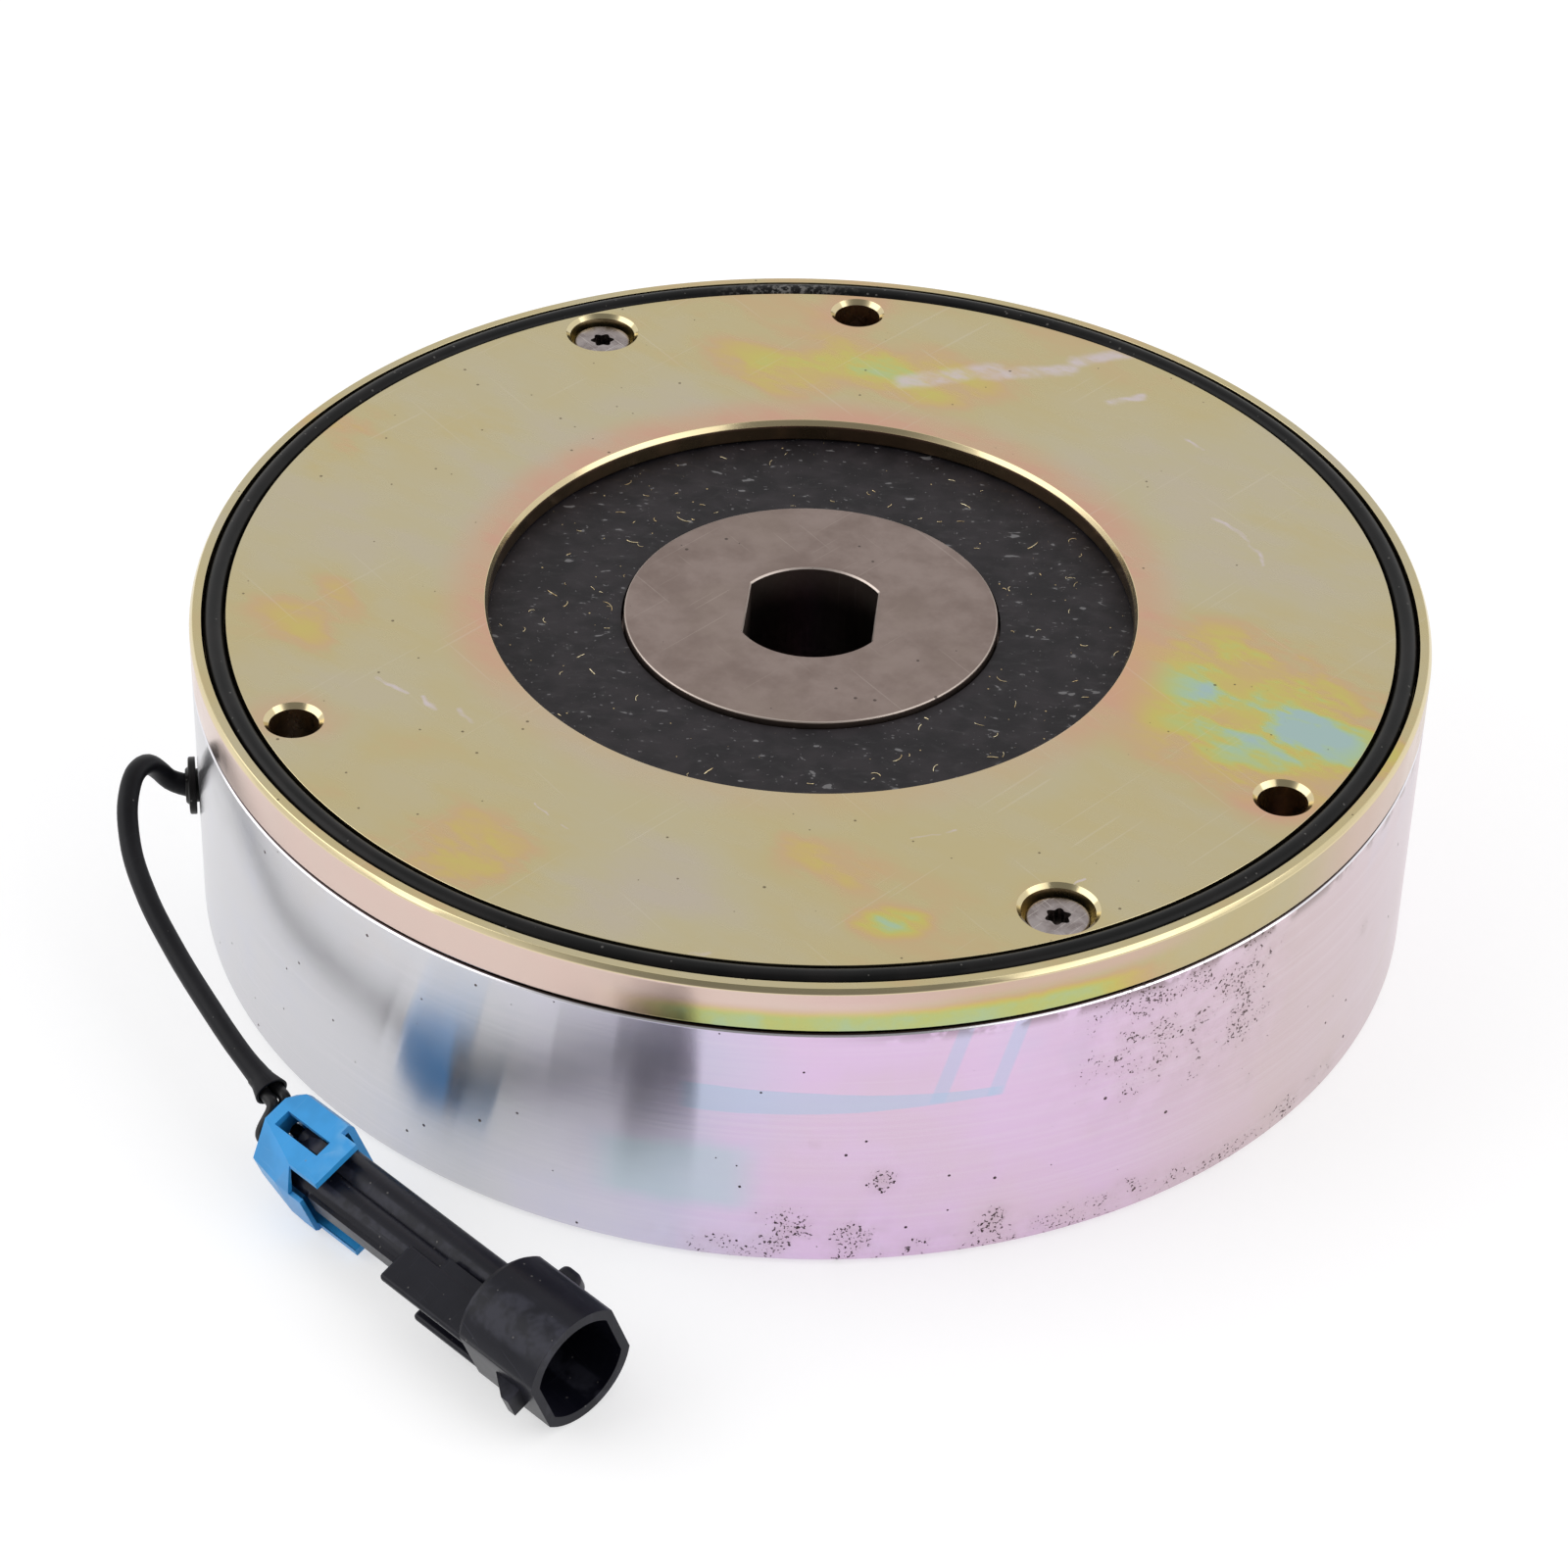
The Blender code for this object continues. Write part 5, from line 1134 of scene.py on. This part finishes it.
def screw_steel():
    n = Nodes("screw_steel")
    cloud = n.noise(500.0, 3.0, 0.6)
    tone = n.mix(n.band(cloud, 0.35, 0.65), (0.22, 0.185, 0.18), (0.34, 0.30, 0.295))
    # low: the head's lower part, the shank and the bottom of the socket, painted dark as shade down in
    # the counterbore
    low = n.band(n.z, SCREW_SEAT + 0.0022, SCREW_SEAT + 0.0014)
    tone = n.over(
        tone,
        (low, 0.75, (0.03, 0.025, 0.02)),
        (n.scratches(240.0, 0.74), 0.5, (0.75, 0.70, 0.66)),
    )
    return n.done(tone, n.band(cloud, 0.3, 0.7, 0.24, 0.36), 1.0, n.bump(n.noise(2500.0), 0.2, 0.00002))


def seal_rubber():
    n = Nodes("seal_rubber")
    fine = n.noise(1800.0, 2.0, 0.6)
    tone = n.mix(n.band(n.noise(200.0, 2.0), 0.4, 0.7), (0.003, 0.003, 0.003), (0.007, 0.006, 0.006))
    behind = n.spot((-0.010, 0.0735, COVER_TOP), (0.012, 0.02, 0.02))
    dust = n.times(n.band(n.noise(1500.0, 3.0, 0.7), 0.46, 0.62), behind)
    dust = n.larger(dust, n.times(n.dots(900.0, 0.16), 0.5))
    tone = n.over(tone, (dust, 0.7, (0.22, 0.21, 0.20)))
    rough = n.band(dust, 0.0, 0.6, 0.36, 0.60)
    return n.done(tone, rough, 0.0, n.bump(fine, 0.10, 0.00002), Specular_IOR_Level=0.17)


def worn_plastic(name, colour, rough, worn, amount, gloss):
    """Moulded plastic, rubbed lighter on its edges, with fine scratches."""
    n = Nodes(name)
    cloud = n.noise(140.0, 3.0, 0.6)
    fine = n.noise(1800.0, 2.0, 0.6)
    tone = n.mix(n.band(cloud, 0.35, 0.68), colour, tuple(min(1.0, 1.2 * c + 0.002) for c in colour))
    point = n.node("NewGeometry").outputs["Pointiness"]
    patchy = n.band(n.noise(420.0, 2.0, 0.6), 0.35, 0.62)
    edge = n.times(n.band(point, 0.56, 0.72), patchy)
    tone = n.over(
        tone,
        (edge, amount, worn),
        (n.scratches(130.0, 0.78), 0.4 * amount, worn),
        (n.dots(900.0, 0.12), 0.4, (0.22, 0.21, 0.20)),
    )
    rough = n.plus(n.band(cloud, 0.3, 0.7, rough * 0.95, rough * 1.07), n.times(edge, 0.08))
    return n.done(tone, rough, 0.0, n.bump(fine, 0.16, 0.00003), Specular_IOR_Level=gloss)


def make_looks():
    metals = {"spring_steel": ((0.42, 0.42, 0.43), 0.35), "terminal_tin": ((0.62, 0.62, 0.60), 0.3)}
    plastics = {
        "bobbin_plastic": ((0.52, 0.49, 0.41), 0.5, 1.15),
        "potting_resin": ((0.05, 0.045, 0.04), 0.45),
    }
    worn = {
        "sleeve_plastic": ((0.006, 0.006, 0.008), 0.42, (0.04, 0.04, 0.05), 0.4, 0.14),
        "wire_plastic": ((0.009, 0.009, 0.010), 0.34, (0.05, 0.05, 0.06), 0.3, 0.3),
        "black_nylon": ((0.005, 0.005, 0.010), 0.30, (0.05, 0.05, 0.07), 0.5, 0.20),
        "blue_plastic": ((0.030, 0.29, 0.66), 0.33, (0.20, 0.48, 0.80), 0.5, 0.35),
    }
    looks = {}
    for make, table in ((plain_metal, metals), (plain_plastic, plastics), (worn_plastic, worn)):
        looks.update({name: make(name, *values) for name, values in table.items()})
    metal = (screw_steel, copper_winding, bright_steel, yellow_zinc, clear_zinc, brass)
    for make in metal + (seal_rubber, friction_lining):
        looks[make.__name__] = make()
    return looks


# Putting it together

LOOKS = make_looks()


def dress(obj, look, node=None, body="housing"):
    """Give a piece its material and its body, and hide the node it stands for."""
    obj.data.materials.clear()
    obj.data.materials.append(LOOKS[look])
    if node:
        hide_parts(node)
    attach(obj, body)
    return obj


dress(make_cover(), "yellow_zinc", "cover_plate")
dress(make_seal(), "seal_rubber", "o_ring")
dress(make_body(), "clear_zinc", "magnet_body")
dress(make_hub(), "bright_steel", "rotor_hub", "rotor")
dress(make_disc(), "friction_lining", "friction_disc", "rotor")
fibres = dress(make_fibres(), "friction_lining", None, "rotor")
fibres.data.materials[0] = LOOKS["brass"]
dress(make_armature(), "bright_steel", "armature_plate", "armature")
for make, look, node, angles in (
    (make_screw, "screw_steel", "cover_screw", SCREW_ANGLES),
    (make_pin, "bright_steel", "guide_pin", PIN_ANGLES),
    (make_spring, "spring_steel", "spring", SPRING_ANGLES),
):
    for number, angle in enumerate(angles, 1):
        dress(make(number, angle), look, f"{node}_{number}")
for piece, look in zip(make_coil(), ("bobbin_plastic", "copper_winding", "potting_resin")):
    dress(piece, look, piece.name.replace("_fine", ""))

on_lead = [dress(make_grommet(), "seal_rubber", "cable_grommet")]
path = lead_path(0.0008)
heading = (path[-1] - path[-2]).normalized()
for number, way in enumerate(WAYS, 1):
    wire = make_wire(number, way, path[-1], heading)
    on_lead += [
        dress(wire, "wire_plastic", f"lead_wire_{number}"),
        dress(make_wire_seal(number, way), "seal_rubber", f"wire_seal_{number}"),
        dress(make_terminal(number, way), "terminal_tin", f"terminal_{number}"),
    ]
on_lead.append(dress(make_housing(), "black_nylon", "connector_body"))
on_lead.append(dress(make_lock(), "blue_plastic", "connector_lock"))
on_lead.append(dress(make_cuff(path[-1], heading), "sleeve_plastic"))
slim = []
for point in path:
    out = point.xy.length - BODY_R
    left = (path[-1] - point).length
    slim.append(1.0 if out < 0.0 else 1.0 - 0.14 * min(1.0, out / 0.004, left / 0.006))
sleeve = dress(tube("cable_sleeve_fine", path[:-3], SLEEVE_R, 20, slim), "sleeve_plastic", "cable_sleeve")


# Stage, light and camera


def stage():
    """A white floor that keeps the shadow, two soft lamps and a dim side by the camera."""
    floor = box("floor", (-3.0, -3.0, -0.02), (3.0, 3.0, 0.0))
    n = Nodes("floor")
    n.done(n.mix(n.noise(30.0, 3.0), (0.79, 0.79, 0.79), (0.81, 0.81, 0.81)), 0.7)
    shadow = n.node("BsdfDiffuse", {"Color": (0.55, 0.55, 0.555)}).outputs[0]
    glow = n.node("Emission", {"Strength": FLOOR_GLOW}).outputs[0]
    both = n.node("AddShader", [shadow, glow]).outputs[0]
    choice = n.node("MixShader", [n.seen(), n.shader.outputs[0], both]).outputs[0]
    n.feed(n.tree.nodes["Material Output"].inputs["Surface"], choice)
    floor.data.materials.append(n.owner)

    world = bpy.data.worlds.new("studio")
    bpy.context.scene.world = world
    w = Nodes("studio", world)
    ahead = w.node("TexCoord").outputs["Generated"]
    dark_side = Vector((0.05, -0.78, 0.62)).normalized()
    light = w.band(w.vectors("DOT_PRODUCT", ahead, dark_side)["Value"], 0.55, 0.92, 0.95, 0.26)
    camera_ray = w.node("LightPath").outputs["Is Camera Ray"]
    strength = w.node("Mix", {0: camera_ray, 2: light, 3: 1.0}, data_type="FLOAT").outputs[0]
    back = w.tree.nodes["Background"].inputs
    w.feed(back["Color"], (1.0, 1.0, 1.0))
    w.feed(back["Strength"], strength)

    for name, azimuth, elevation, wide, tall, power in (
        ("right", -25.0, 31.0, 1.05, 0.80, 3.1),
        ("left", 187.0, 31.0, 1.10, 0.80, 3.4),
    ):
        lamp = bpy.data.lights.new("lamp_" + name, "AREA")
        lamp.shape = "RECTANGLE"
        lamp.size, lamp.size_y, lamp.energy = wide, tall, power
        obj = link("lamp_" + name, lamp)
        out, up = around(LAMP_AWAY, math.radians(elevation))
        place = polar(out, azimuth, up)
        obj.location = place
        obj.rotation_euler = (-place).to_track_quat("-Z", "Y").to_euler()


stage()
camera = link("camera", bpy.data.cameras.new("camera"))
camera.location = (0.033904, -0.472979, 0.369515)
camera.rotation_euler = [math.radians(a) for a in (52.9565, -1.4691, 5.5289)]
camera.data.lens = 107.494
camera.data.sensor_width = 36.0
camera.data.clip_start = 0.01
bpy.context.scene.camera = camera
bpy.context.scene.view_settings.view_transform = "Standard"
